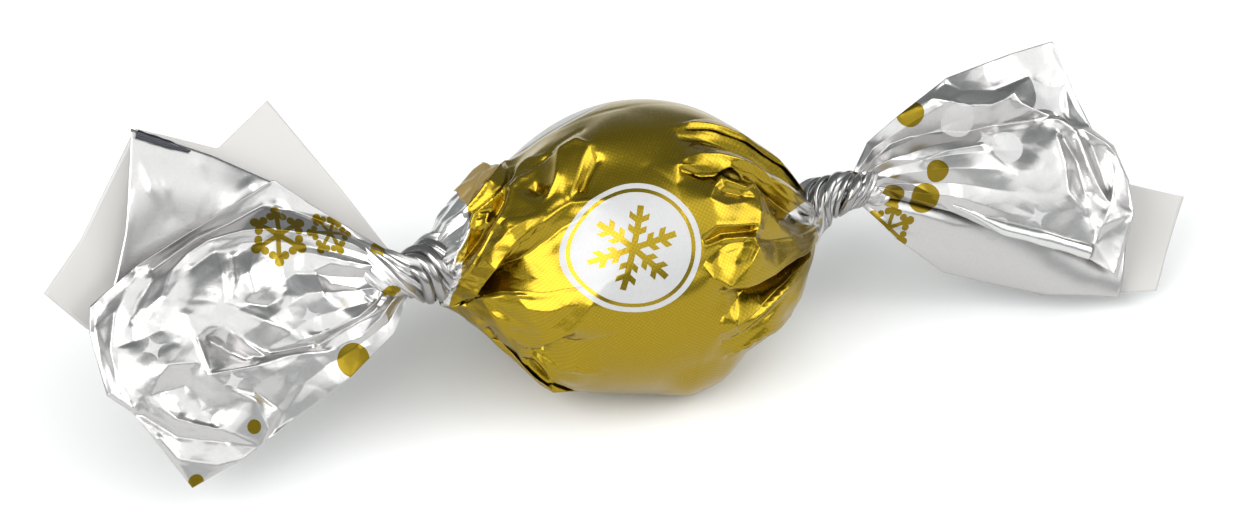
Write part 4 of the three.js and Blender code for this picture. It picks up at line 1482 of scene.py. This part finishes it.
    def make(self) -> None:
        """Makes the ball, the folds that lap over it and its flap of film, and fixes them to the frame."""
        gold = self.gold.make()
        pieces = [self.wrapper(gold), *(self.lap_over(lap, gold) for lap in self.laps)]
        pieces.append(self.lap_over(self.flap, self.flap_finish.make()))
        for piece in pieces:
            hand_over(piece, "wrapped_praline")


@dataclass(frozen=True)
class Fan:
    """The plane that a spread end lies in."""

    knot: tuple[float, float, float]
    lean: float = math.pi / 4

    def to_world(self, points: Array) -> Array:
        """Moves points from the fan's own frame to the part's."""
        turn = np.array(Matrix.Rotation(self.lean, 3, "X"))
        return points @ turn.T + np.array(self.knot)

    def to_local(self, points: Array) -> Array:
        """Moves points from the part's frame to the fan's own."""
        turn = np.array(Matrix.Rotation(self.lean, 3, "X"))
        return (points - np.array(self.knot)) @ turn


def spread_pleats(u: Array, v: Array, count: int) -> Array:
    """Pleats side by side that spread from the twist and die out towards the rim, from -0.5 to 0.5."""
    return (0.5 - facet_wave(count * v)) * smooth_step(0, 0.1, u) * (1 - smooth_step(0.25, 0.8, u))


class Edge(Enum):
    """The edge that a hem is rolled on. The value is the share across its sheet, 0 at the top."""

    FRONT_LOWER = 1.0
    BACK_UPPER = 0.0


@dataclass
class Tail:
    """A twist and its spread end of silver foil and clear film.

    A station of the neck is (x, y, z, half width, half depth). Folds are (x, y, height) as seen square on to
    the fan from the twist at (0, 0). Everything is in mm.
    """

    name: str
    fan: Fan
    front: Patch
    back: Patch
    film: Patch
    stations: tuple[tuple[float, ...], ...]
    folds: Creases
    pleats: int
    belly: float  # how far the front sheet bulges
    belly_span: float  # share of the sheet's length that the bulge fills
    mouth_depth: float  # how far the back sheet sags behind the front one
    seam_slope: float  # of the seam between the two sheets
    turns: float  # of the twist
    silver: FoilFinish
    strands: TwistedStrands
    hem: RolledHem
    # the right hem's metal is painted lighter as painted light, the left hem's darker as painted shade
    hem_silver: FoilFinish
    hem_edge: Edge = Edge.FRONT_LOWER
    hem_span: tuple[float, float] = (0.33, 0.87)  # shares of the edge where the hem starts and ends
    back_folds: Creases = ()
    curl: float = 0.0  # how far the back sheet curls back below the line of the hem
    curl_root: Spot = (3.5, -1.3)  # where that line starts
    curl_slope: float = 0.52  # how steeply it falls outwards
    curl_width: float = 4.5  # over which the curl reaches its full value
    crease_gain: float = 0.85  # by which the heights of the front sheet's folds are scaled
    sag_width: float = 16.0  # from the seam to the deepest part of the sag
    fan_reach: float = 37.0  # from the twist to where the sag has died out
    thickness: float = 0.1
    front_steps: tuple[int, int] = (220, 190)
    back_steps: tuple[int, int] = (120, 100)
    film_steps: tuple[int, int] = (90, 80)
    twist_steps: tuple[int, int] = (200, 132)
    strand_span: tuple[float, float] = (0.25, 0.74)  # shares of the neck where the strands start and end
    strand_steps: int = 60
    hem_steps: int = 70
    hem_lift: float = 0.35  # of the hem's middle over the sheet

    def sag(self, x: Array, y: Array) -> Array:
        """Depth of the back sheet: none at the seam with the front one, most in the middle of the fan.

        Args:
            x: Places outwards, in mm.
            y: Places across, in mm.

        Returns:
            The depths, in mm.
        """
        below = (self.seam_slope * np.abs(x) - y) / math.hypot(1, self.seam_slope)
        swell = np.sin(np.pi * np.minimum(np.hypot(x, y) / self.fan_reach, 1))
        return self.mouth_depth * smooth_step(0, self.sag_width, below) * swell

    def curled(self, x: Array, y: Array) -> Array:
        """How far the part below the hem's line curls back.

        Args:
            x: Places outwards, in mm.
            y: Places across, in mm.

        Returns:
            The rises, 0 or less, in mm.
        """
        root_x, root_y = self.curl_root
        # the height below the line, divided by 1.13, is the distance from it
        below = (root_y - self.curl_slope * (np.abs(x) - root_x) - y) / 1.13
        return -self.curl * (np.maximum(below, 0) / self.curl_width) ** 2

    def front_relief(self, x: Array, y: Array, u: Array, v: Array) -> tuple[Array, Array]:
        """Relief of the front sheet: belly, folds, ripples, facets and pleats.

        Args:
            x: Places outwards, in mm.
            y: Places across, in mm.
            u: Shares outwards from the twist.
            v: Shares from the upper edge to the lower one.

        Returns:
            Its rises and its slides along y, in mm.
        """
        belly = self.belly * np.sin(np.pi * np.minimum(u * self.belly_span, 1))
        belly = belly * np.sin(np.pi * (0.13 + 0.74 * v))
        rise = self.crease_gain * FoldNet(self.folds).height(x, y)
        ripples = 0.22 * np.sin(0.55 * x + 0.3 * y) * np.sin(0.5 * y - 0.2 * x + 1)
        rise += ripples + 0.075 * Facets(1.6, 6).height(x, y)
        rise = rise * smooth_step(0, 0.1, u) + belly + 0.5 * spread_pleats(u, v, self.pleats)
        return rise, np.zeros_like(x)

    def back_relief(self, x: Array, y: Array, u: Array, v: Array) -> tuple[Array, Array]:
        """Relief of the back sheet: sag, curl, crumples and pleats.

        Args:
            x: Places outwards, in mm.
            y: Places across, in mm.
            u: Shares outwards from the twist.
            v: Shares from the upper edge to the lower one.

        Returns:
            Its rises and its slides along y, in mm.
        """
        curled = self.curled(x, y)
        rise = curled - self.sag(x, y) - 0.2 + 0.12 * smooth_step(0.1, 0.5, u) * crumple(x + 4, y, 6.5)
        rise += 0.4 * spread_pleats(u, v, 7)
        if self.back_folds:
            rise += FoldNet(self.back_folds).height(x, y)
        return rise, -0.2 * curled

    def film_relief(self, x: Array, y: Array, u: Array, v: Array) -> tuple[Array, Array]:
        """Relief of the film, which leaves the twist just behind it and then lies close behind the foil.

        Args:
            x: Places outwards, in mm.
            y: Places across, in mm.
            u: Shares outwards from the twist; not used.
            v: Shares from the upper edge to the lower one; not used.

        Returns:
            Its rises and its slides along y, in mm.
        """
        away = np.hypot(x, y)
        waves = 0.2 * smooth_step(4, 12, away) * np.sin(0.45 * x + 0.2 * y)
        depth = -2.75 + 0.8 * smooth_step(3, 10, away) + waves
        return depth - self.sag(x, y) + self.curled(x, y), np.zeros_like(x)

    def sheet(self, part: str, patch: Patch, steps: tuple[int, int], relief: Relief) -> Piece:
        """Makes one sheet.

        Args:
            part: What the sheet is.
            patch: Its outline.
            steps: Its mesh steps outwards and across.
            relief: The function that gives its rises and slides.

        Returns:
            The object.
        """
        u, v = np.meshgrid(np.linspace(0, 1, steps[0] + 1), np.linspace(0, 1, steps[1] + 1), indexing="ij")
        flat = patch.points(u, v)
        x, y = flat[..., 0], flat[..., 1]
        rise, slide = relief(x, y, u, v)
        middle = np.stack([x, y + slide, rise], -1)
        half = np.array([0, 0, self.thickness / 2])
        top, bottom = self.fan.to_world(middle + half), self.fan.to_world(middle - half)
        return thin_sheet(f"{self.name}_{part}", top, bottom, flat)

    def neck(self, t: Array) -> tuple[Array, Array, Array, Array]:
        """The neck of the twist in the fan's own frame.

        Args:
            t: Shares along it.

        Returns:
            Its middle, its directions to the side and to the front, and its half width and half depth.
        """
        rows = np.array(self.stations)
        centre = smooth_line(self.fan.to_local(rows[:, :3]), t)
        ahead = np.gradient(centre, axis=0)
        ahead /= np.linalg.norm(ahead, axis=1)[:, None]
        thin = np.array([0, 0, 1]) - ahead[:, 2:3] * ahead
        thin /= np.linalg.norm(thin, axis=1)[:, None]
        return centre, np.cross(thin, ahead), thin, smooth_line(rows[:, 3:], t)

    def twist(self) -> Piece:
        """Makes the foil rope between the ball and the fan: three thick strands with sharp and fine pleats.

        Returns:
            The object.
        """
        count, sides = self.twist_steps
        t = np.linspace(0, 1, count)
        centre, wide, thin, size = self.neck(t)
        angle = np.linspace(0, 2 * np.pi, sides + 1)
        phase = angle[None] - self.turns * 2 * np.pi * t[:, None]
        strand = 0.32 * np.cos(3 * phase)
        sharp = 0.5 - np.abs(np.sin(4.5 * phase + 0.8 * np.sin(2 * phase)))
        fine = facet_wave(19 * phase / np.pi + np.sin(7 * phase)) - 0.5
        relief = strand + 0.55 * sharp * np.minimum(size[:, :1] / 3, 1) + 0.16 * fine
        across = np.cos(angle)[None] * (size[:, :1] + relief)
        deep = np.sin(angle)[None] * (size[:, 1:] + 0.7 * relief)
        points = centre[:, None] + across[..., None] * wide[:, None] + deep[..., None] * thin[:, None]
        flat = np.stack(np.broadcast_arrays(centre[:, :1], angle * 3), -1)
        return loft(f"{self.name}_twist", self.fan.to_world(points)[:, :-1], flat)

    def wind(self, finish: Material) -> Piece:
        """Winds strands round the neck, flatter where they run out behind the front sheet.

        Args:
            finish: Their finish.

        Returns:
            The dressed piece.
        """
        share = np.linspace(*self.strand_span, self.strand_steps)
        centre, wide, thin, size = self.neck(share)
        size = size * (0.97 - 0.5 * smooth_step(0.58, self.strand_span[1], share))[:, None]
        origin = self.fan.to_world(np.zeros((1, 3)))
        arms = [self.fan.to_world(way * size[:, k : k + 1]) - origin for k, way in ((0, wide), (1, thin))]
        return self.strands.make(self.fan.to_world(centre), arms[0], arms[1], finish)

    def roll(self, finish: Material) -> Piece:
        """Rolls the hem along its edge.

        Args:
            finish: Its finish.

        Returns:
            The dressed piece.
        """
        u = np.linspace(*self.hem_span, self.hem_steps)[:, None]
        if self.hem_edge is Edge.FRONT_LOWER:
            path, inset, relief = self.front.lower, (0.2, 0.5), self.front_relief
        else:
            path, inset, relief = self.back.upper, (0, -0.4), self.back_relief
        flat = Patch.along(path, u[:, 0]) + np.array(inset)
        rise = relief(flat[:, :1], flat[:, 1:], u, np.full_like(u, self.hem_edge.value))[0]
        points = np.concatenate([flat, rise + self.hem_lift], 1)
        return self.hem.make(self.fan.to_world(points), finish)

    def make(self, plain: Material, film: Material) -> None:
        """Makes the dressed pieces and fixes them to the frame.

        Args:
            plain: Finish of the strands.
            film: Finish of the film.
        """
        front = self.sheet("front_foil", self.front, self.front_steps, self.front_relief)
        back = self.sheet("back_foil", self.back, self.back_steps, self.back_relief)
        twist = self.twist()
        silver = self.silver.make()
        for obj in (front, back, twist):
            obj.data.materials.append(silver)
        for obj in (front, back, twist, self.wind(plain), self.roll(self.hem_silver.make())):
            hand_over(obj, f"{self.name}_tail")
        clear = self.sheet("clear_film", self.film, self.film_steps, self.film_relief)
        clear.data.materials.append(film)
        hand_over(clear, f"{self.name}_film")


LEFT_TAIL = Tail(
    name="left",
    fan=Fan((-21.8, -0.5, 15.0)),
    front=Patch(
        upper=((0.3, 1.5), (-5.6, 6.5), (-10, 10.7), (-13.1, 9.5), (-18.7, 7.4), (-24, 5.3), (-28.4, 2.8)),
        lower=((0.2, -1.5), (-2.2, -5), (-7.1, -8.2), (-12.4, -10.6), (-17.9, -13.3), (-22.9, -14.9)),
        outer=((-28.4, 2.8), (-29, 0.5), (-28.7, -5.4), (-26.9, -7.4), (-22.9, -14.9)),
    ),
    back=Patch(
        upper=((0.3, 1.4), (-5.6, 6.6), (-10, 10.7), (-14.8, 14.1), (-21.4, 17.8)),
        lower=((0.2, -1.4), (-7, -7.2), (-14, -10.4), (-21.5, -12)),
        outer=((-21.4, 17.8), (-23.7, 8.8), (-25.2, 5.2), (-27.6, 1), (-26, -6), (-21.5, -12)),
    ),
    film=Patch(
        upper=((-0.1, 2.6), (-8.4, 18.3)),
        lower=((-0.6, -1.2), (-12, -4.2), (-23, -2.5), (-28.6, 1.4), (-31.7, 5.1)),
        outer=((-8.4, 18.3), (-13.8, 14.8), (-20.8, 18), (-27.5, 9.2), (-31.7, 5.1)),
    ),
    stations=(
        (-12.2, 2.2, 14.4, 6.3, 4.4),
        (-15.0, 1.2, 14.3, 4.6, 3.6),
        (-17.4, 0.6, 14.4, 3.3, 3.0),
        (-19.6, 0.1, 14.4, 2.4, 2.3),
        (-21.8, -0.5, 15.0, 1.8, 1.8),
        (-23.6, -0.6, 15.3, 2.4, 1.4),
        (-26.0, -0.6, 15.6, 3.4, 0.7),
    ),
    folds=(
        # outline: the rim of the mouth stands up, the left side turns back
        ((0.3, 1.5, 0), (-5.6, 6.5, 0.2), (-10, 10.7, 0.6), (-13.1, 9.5, 0.5), (-18.7, 7.4, 0.6),
         (-24, 5.3, 0.7)),
        ((-24, 5.3, 0.7), (-28.4, 2.8, 0.2), (-29, 0.5, -0.4), (-28.7, -5.4, -0.3), (-26.9, -7.4, 0.3)),
        ((-26.9, -7.4, 0.3), (-22.9, -14.9, 0), (-17.9, -13.3, 0.3), (-12.4, -10.6, 0.1), (-7.1, -8.2, 0.2)),
        ((-7.1, -8.2, 0.2), (-2.2, -5, 0), (0.2, -1.5, 0), (0.3, 1.5, 0)),
        # valley under the rim, and the curled ridge below it
        ((-3.3, 3.9, -0.2), (-5.5, 5.7, -0.7), (-8.8, 7.6, -0.9), (-11.5, 8.5, -0.9), (-14.7, 7.5, -0.8)),
        ((-14.7, 7.5, -0.8), (-17.8, 6.8, -0.7), (-20.5, 5.6, -0.8), (-22.3, 4.8, -0.6)),
        ((-0.8, 0.6, 0.3), (-2.2, 1.9, 0.9), (-4.4, 3.5, 1.3), (-7.3, 4.9, 1.5), (-11.2, 6.1, 1.6),
         (-14.3, 6.5, 1.5)),
        ((-14.3, 6.5, 1.5), (-17.1, 6.4, 1.3), (-19.2, 5.6, 1.1), (-21, 4.3, 0.9), (-22.3, 2.2, 1.1)),
        ((-2.5, 1.4, 0.4), (-5.2, 2.7, 0.6), (-8.4, 4, 0.7), (-11.3, 5.1, 0.7), (-14.4, 5.5, 0.7),
         (-16.8, 5.2, 0.5)),
        ((-16.8, 5.2, 0.5), (-19, 4.2, 0.3)),
        # the belly: its lower crease and the soft folds that run down it
        ((-22.3, 2.2, 1.1), (-19.8, 1.3, 0.9), (-17.2, 0.4, 0.9), (-14.7, -1.3, 0.8), (-12.5, -2.7, 0.7)),
        ((-12.5, -2.7, 0.7), (-10.6, -4.1, 0.5)),
        ((-16.7, 5.2, 0.6), (-16.7, 3.1, 1.1), (-17.2, 0.4, 0.9)),
        ((-15.2, 4.5, 0.1), (-15.5, 2.5, 0.3), (-16.1, 1.1, 0.4)),
        ((-13.5, 4.6, 0.8), (-14.4, 2.6, 1.1), (-14.2, 0.7, 0.9)),
        ((-11.2, 3.5, 0.2), (-11, 0.7, 0.1), (-11.2, -1.7, 0.2)),
        ((-14.6, -0.1, 0.2), (-13.2, -0.5, -0.3), (-12, -0.6, 0.2)),
        ((-8.9, -3.8, 0.5), (-8.2, -0.7, 1), (-8.4, 1.8, 0.9), (-6.7, 2.1, 0.8), (-4.4, 1.3, 0.8),
         (-1.8, 0.4, 0.4)),
        ((-7, 0.4, -0.1), (-4.6, -0.4, -0.3), (-3.6, -1.5, -0.1)),
        # bundle of pleats from the twist
        ((-0.9, -0.2, 0.3), (-3.1, -1.8, 0.8), (-5.6, -3.2, 0.9), (-9.7, -4, 0.9), (-10.6, -4.1, 0.5)),
        ((-1, -0.6, -0.1), (-3.5, -2.7, -0.2), (-6.5, -3.7, -0.3), (-9.3, -4.7, -0.4)),
        ((-0.9, -1.1, 0.4), (-3.1, -3.4, 0.7), (-5.3, -4.8, 0.7), (-7.2, -5.1, 0.5)),
        # peak in the middle, and the hollow with dark sides to the right of it
        ((-22.3, 2.2, 1.1), (-25.6, -1.2, -0.2), (-27.2, -1.5, 0.6)),
        ((-20.4, 0.1, 1.2), (-20.1, -2, 1), (-19.7, -5.5, 1.3)),
        ((-20.4, 0.1, 1.2), (-23, -0.8, 0.2), (-25.6, -1.2, -0.2)),
        ((-20.4, 0.1, 1.2), (-17.6, -1.6, 0.9), (-16.3, -3.1, 0.7), (-14.3, -5.0, 0.6)),
        ((-18.8, -2.5, -0.9), (-17.1, -4, -1.1), (-16.1, -4.8, -0.6)),
        # left side
        ((-24.2, 4.6, 0.8), (-26.6, 1.5, 1), (-27.7, -1.7, 0.9), (-27.6, -4.3, 0.5), (-26.9, -7, 0.9)),
        ((-22.6, 4, 0), (-24.1, 2.4, -0.1), (-25.4, 0.7, 0)),
        ((-27.7, 3, 0.3), (-28.4, 1, -0.3), (-28.5, -1.3, -0.4)),
        ((-24.6, -2.6, 0.3), (-22, -2.2, 0.5)),
        ((-25.1, -6.3, 0.6), (-23.9, -4.7, 1), (-23.1, -4, 1.1), (-20.6, -4.3, 1)),
        ((-23.6, -6.1, -0.1), (-21.9, -5.9, -0.2), (-22.8, -8.2, 0)),
        # lower flap, the lobe on it and the strips along the bottom
        ((-19.7, -5.5, 1.3), (-15.5, -5.6, 1.1), (-12, -5.2, 0.9), (-8.5, -5.5, 0.5)),
        ((-13.8, -4.7, -0.1), (-10.6, -4.7, -0.2)),
        ((-19.7, -5.5, 1.3), (-18.2, -7, 0.9), (-16.1, -8.6, 1), (-15.3, -11.3, 0.8), (-16.3, -12.7, 0.8)),
        ((-19.9, -9.1, -0.1), (-20.2, -9.8, -0.2)),
        ((-15.6, -8, 0.2), (-13.8, -9.9, 0), (-14.6, -11.4, -0.1)),
        ((-12.4, -7.8, 0.6), (-10.2, -8.7, 0.3)),
        ((-25.8, -6.1, 0.6), (-23.3, -8.7, 0.7), (-19.7, -10.4, 0.5), (-16.3, -12.7, 0.8)),
        ((-26, -7.8, -0.3), (-23.4, -10.2, -0.4), (-19.4, -11.5, -0.3)),
        ((-25, -10.1, 0.5), (-23.8, -12.2, 0.6), (-20.4, -13.4, 0.4), (-17.9, -13.2, 0.2)),
    ),
    pleats=9,
    belly=2.6,
    belly_span=0.85,
    mouth_depth=3.2,
    seam_slope=0.84,
    turns=1.1,
    silver=LEFT_SILVER,
    strands=TwistedStrands("left_strands", {"Strands": 8.0, "Turns": 1.0, "Radius": 0.5}),
    hem=RolledHem("left_hem", {"Radius": 0.4}),
    hem_silver=SHADED_LEFT_HEM_SILVER,
    hem_edge=Edge.BACK_UPPER,
    hem_span=(0.8, 0.985),
    back_folds=(
        # outline
        ((-21.8, 17.8, 0), (-14.8, 14.1, 0), (-9.5, 10.7, 0), (-9.5, 5, 0), (-20, 4, 0), (-27, 2, 0),
         (-25, 8, 0)),
        ((-25, 8, 0), (-21.8, 17.8, 0)),
        # flat facets beside the corner
        ((-21.3, 15.6, 0.1), (-20.6, 12.3, 0.6), (-19.7, 9.0, 0.1)),
        ((-19.1, 14.9, 0.1), (-19.3, 12.0, 0.5), (-19.4, 9.4, 0.1)),
        ((-15.9, 13.6, 0), (-15.5, 11.3, 0.3), (-16.9, 8.6, 0)),
        ((-11.7, 11.6, 0.1), (-12.2, 10.7, 0.6), (-13.8, 9.3, 0.4), (-16.4, 8.4, 0)),
        ((-22.6, 12.5, 0.2), (-23.4, 9.5, 0.4), (-24.4, 6.2, 0.1)),
    ),
)

RIGHT_TAIL = Tail(
    name="right",
    fan=Fan((22.0, -0.5, 14.7)),
    front=Patch(
        upper=((-0.4, 1.5), (1.5, 4), (5, 5.9), (10.2, 8.4), (16.9, 9.5), (21.2, 9.9)),
        lower=((0, -0.6), (3.5, -1.8), (7.8, -3.8), (12.2, -6.9), (19.9, -10.6), (22.2, -13)),
        outer=((21.2, 9.9), (22, 5.8), (22.9, 1.3), (24.7, -0.8), (25.4, -4.3), (25.1, -7.4), (22.2, -13)),
    ),
    back=Patch(
        upper=((-0.4, 1.2), (4.9, 5.2), (11, 6.5), (18, 6.2), (22.5, 4.5)),
        lower=((-0.2, -1.5), (2.9, -5.4), (7.4, -9.4), (16.8, -13.2), (23.1, -14.6)),
        outer=((22.5, 4.5), (24.3, -2), (24.9, -9.1), (23.1, -14.6)),
    ),
    film=Patch(
        upper=((0.5, 1.7), (10, 1.5), (18, -1), (26, -3.9), (31.6, -6.5)),
        lower=((0.6, -1.2), (8, -8.2), (16.8, -12.6), (22.8, -13.9), (27, -14.6)),
        outer=((31.6, -6.5), (27, -14.6)),
    ),
    stations=(
        (14.6, 0.2, 12.4, 4.0, 3.8),
        (17.2, -0.1, 13.1, 2.6, 2.5),
        (19.1, -0.3, 14.3, 1.7, 1.7),
        (21.6, -0.5, 14.7, 1.4, 1.4),
        (23.4, -0.3, 14.7, 1.7, 0.9),
        (25.2, 0.4, 14.2, 1.9, 0.3),
    ),
    folds=(
        # outline
        ((-0.4, 1.5, 0), (1.5, 4, 0.2), (5, 5.9, 0.2), (10.2, 8.4, 0.3), (16.9, 9.5, 0.2), (21.2, 9.9, 0.3)),
        ((21.2, 9.9, 0.3), (22, 5.8, 0.3), (22.9, 1.3, 0), (24.7, -0.8, 0), (25.4, -4.3, 0),
         (25.1, -7.4, 0.1)),
        ((25.1, -7.4, 0.1), (22.2, -13, 0), (19.9, -10.6, 0), (12.2, -6.9, 0), (7.8, -3.8, 0),
         (3.5, -1.8, 0)),
        ((3.5, -1.8, 0), (0, -0.6, 0), (-0.4, 1.5, 0)),
        # deep valley that runs out from the twist, under the upper crest
        ((0.2, 1.9, 0.2), (2, 2.4, -0.4), (3.8, 3.5, -1), (5.7, 3.8, -1.2), (8.9, 3.6, -1.4),
         (10.7, 3.1, -1.4)),
        ((10.7, 3.1, -1.4), (13.9, 3.2, -1.2), (17.5, 3, -0.8), (19.7, 2.8, -0.1)),
        ((8.3, 6.7, 0.8), (11, 5.3, 0.9), (13.3, 4.9, 1), (14.7, 5.2, 1.2), (15.7, 5.7, 1.5),
         (16.1, 4.7, 1.1)),
        ((16.1, 4.7, 1.1), (17.2, 3.8, 1), (19.2, 2.6, 1), (21.7, 1.2, 1), (24, -0.8, 0.7), (25, -2.5, 0.2)),
        # facets of the upper panel
        ((9.9, 7.9, -0.05), (11.2, 6.8, 0.25), (9.8, 6.5, 0.25), (8.5, 7.2, 0.3)),
        ((11.2, 6.8, 0.25), (14.5, 6.3, 0.05), (18.4, 7.1, -0.25), (18.3, 5.6, -0.1)),
        ((21, 8.9, 0.1), (21.4, 5.4, 0.25), (20.9, 2.3, 0.25)),
        ((21.8, 4, -0.1), (22.1, 1.7, 0.15)),
        # folds rooted in the twist
        ((0, 1.3, 0.3), (2.7, 1.8, 0.8), (6, 1.2, 0.7), (8.4, 1.6, 0.5), (11.5, 1.5, 0.4)),
        ((0.3, 0.5, 0.3), (3.8, -1.7, 0.7), (6.3, -3, 0.5)),
        ((1.8, 0.7, -0.2), (4.3, -0.3, -0.2), (6, -1.8, -0.1)),
        ((9.9, -1.6, 0.4), (14.5, -2, 0.1)),
        # stripes at the open end
        ((18.9, 1, 0.8), (19.1, -1.6, 1), (18.8, -4.5, 0.8), (19.7, -6.4, 0.3)),
        ((19.7, 0.7, -0.1), (20.6, -1.7, -0.3), (20.8, -4.6, -0.2)),
        ((20.8, 1, 1.1), (21.3, -2.1, 1.2), (21.8, -4.2, 1.1), (22.6, -6.3, 0.9)),
        ((22.4, -0.4, 0), (22.9, -2.9, -0.3), (23, -5, 0)),
        ((23.6, -1, 0.5), (23.8, -2.8, 0.6), (23.5, -4.4, 0.6), (22.6, -6.3, 0.9)),
        ((22.6, -6.3, 0.9), (25, -6.8, -0.1)),
        ((22.6, -6.3, 0.9), (21.4, -8.1, 1.1), (24.9, -7.5, 0.1)),
        ((21.4, -8.1, 1.1), (20.7, -9.5, 0.5), (21.8, -12.6, 0.5)),
        ((18.8, -4.5, 0.8), (20.6, -7.1, 0.1), (21.4, -8.1, 1.1)),
        ((8.6, -4.1, 0.2), (11.5, -5.9, 0.1), (15.7, -8, 0)),
    ),
    pleats=8,
    belly=2.2,
    belly_span=0.9,
    mouth_depth=2.4,
    seam_slope=0.2,
    turns=-1.1,
    silver=RIGHT_SILVER,
    strands=TwistedStrands("right_strands", {"Strands": 7.0, "Turns": -0.9, "Radius": 0.45}),
    hem=RolledHem("right_hem", {"Radius": 0.75}),
    hem_silver=LIT_RIGHT_HEM_SILVER,
    curl=2.2,
)


# ---- Studio ----


def direction(azimuth: float, elevation: float) -> Vector:
    """The way from the sweet that is turned from -Y towards +X and lifted, both in degrees."""
    a, e = math.radians(azimuth), math.radians(elevation)
    return Vector((math.sin(a) * math.cos(e), -math.cos(a) * math.cos(e), math.sin(e)))


@dataclass(frozen=True)
class SoftBox:
    """A soft box that faces the sweet."""

    name: str
    azimuth: float
    elevation: float
    size: tuple[float, float]  # width and height
    radiance: float
    mirrored: bool = True  # whether the foil mirrors it
    distance: float = 700.0

    def make(self) -> None:
        """Makes the lamp."""
        lamp = bpy.data.lights.new(self.name, "AREA")
        lamp.shape = "RECTANGLE"
        lamp.size, lamp.size_y = (side * MM for side in self.size)
        lamp.energy = self.radiance * math.pi * lamp.size * lamp.size_y
        obj = bpy.data.objects.new(self.name, lamp)
        way = direction(self.azimuth, self.elevation)
        obj.location = way * self.distance * MM
        obj.rotation_euler = way.to_track_quat("Z", "Y").to_euler()
        obj.visible_camera = False
        obj.visible_glossy = self.mirrored
        bpy.context.scene.collection.objects.link(obj)


@dataclass
class Studio:
    """A pale table under soft boxes, with the camera at the photograph's angle."""

    azimuth: float = -18.0
    elevation: float = 38.0
    lens: float = 150.0
    sensor: float = 36.0
    distance: float = 470.08
    target: tuple[float, float, float] = (-1.645, -0.473, 11.374)
    clip: tuple[float, float] = (10.0, 20000.0)
    half_table: float = 3000.0
    boxes: tuple[SoftBox, ...] = (
        SoftBox("fill_box", 0, 88, (1400, 1400), 0.8, mirrored=False),
        SoftBox("top_box", 20, 48, (900, 620), 1.25),
        SoftBox("left_box", -62, 35, (620, 520), 4.8),
        SoftBox("right_box", 66, 34, (380, 460), 3.8),
    )
    room_tint: tuple[float, float, float, float] = (0.93, 1.0, 1.0, 1.0)
    room_span: tuple[float, float] = (-0.45, 0.4)  # directions by Y between which the room darkens
    room_levels: tuple[float, float] = (0.58, 0.33)  # its brightness in front of the sweet and behind it

    def table(self) -> None:
        """The table: smooth white card, which looks like an even pale ground."""
        size = self.half_table
        corners = np.array([[-size, -size, 0], [size, -size, 0], [size, size, 0], [-size, size, 0]])
        floor = make_object("table", corners, [[0, 1, 2, 3]])
        material, tree = new_material("White card")
        end_with(tree, {"Base Color": linear("#DDDDDD"), "Roughness": 0.9})
        floor.data.materials.append(material)

    def light(self) -> None:
        """The soft boxes and the room, which is darker behind the sweet."""
        for box in self.boxes:
            box.make()
        world = bpy.data.worlds.new("room")
        world.use_nodes = True
        tree = world.node_tree
        way = add_node(tree, "ShaderNodeTexCoord").outputs["Generated"]
        back = add_node(tree, "ShaderNodeSeparateXYZ", {0: way}).outputs[1]
        level = Wiring(tree).add("ShaderNodeMapRange", back, *self.room_span, *self.room_levels)
        background = tree.nodes["Background"]
        background.inputs[0].default_value = self.room_tint
        tree.links.new(level, background.inputs[1])
        bpy.context.scene.world = world

    def camera(self) -> None:
        """The camera at the photograph's angle."""
        data = bpy.data.cameras.new("camera")
        data.lens, data.sensor_width = self.lens, self.sensor
        data.clip_start, data.clip_end = (reach * MM for reach in self.clip)
        obj = bpy.data.objects.new("camera", data)
        back = direction(self.azimuth, self.elevation)
        obj.location = (Vector(self.target) + back * self.distance) * MM
        obj.rotation_euler = back.to_track_quat("Z", "Y").to_euler()
        bpy.context.scene.collection.objects.link(obj)
        bpy.context.scene.camera = obj
        bpy.context.scene.view_settings.view_transform = "Standard"

    def build(self) -> None:
        """Sets up the table, the lights and the camera."""
        self.table()
        self.light()
        self.camera()


def main() -> None:
    """Builds the sweet piece by piece."""
    logging.basicConfig(level=logging.INFO, format="%(message)s")
    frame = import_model()
    log.info("frame with %d solids", len(frame["nodes"]))
    Studio().build()
    WrappedBall().make()
    # the strands' plain foil is darker than the fans' foil as painted shade
    plain, film = SHADED_STRAND_SILVER.make(), CLEAR_FILM.make()
    for tail in (LEFT_TAIL, RIGHT_TAIL):
        tail.make(plain, film)


if __name__ == "__main__":
    main()
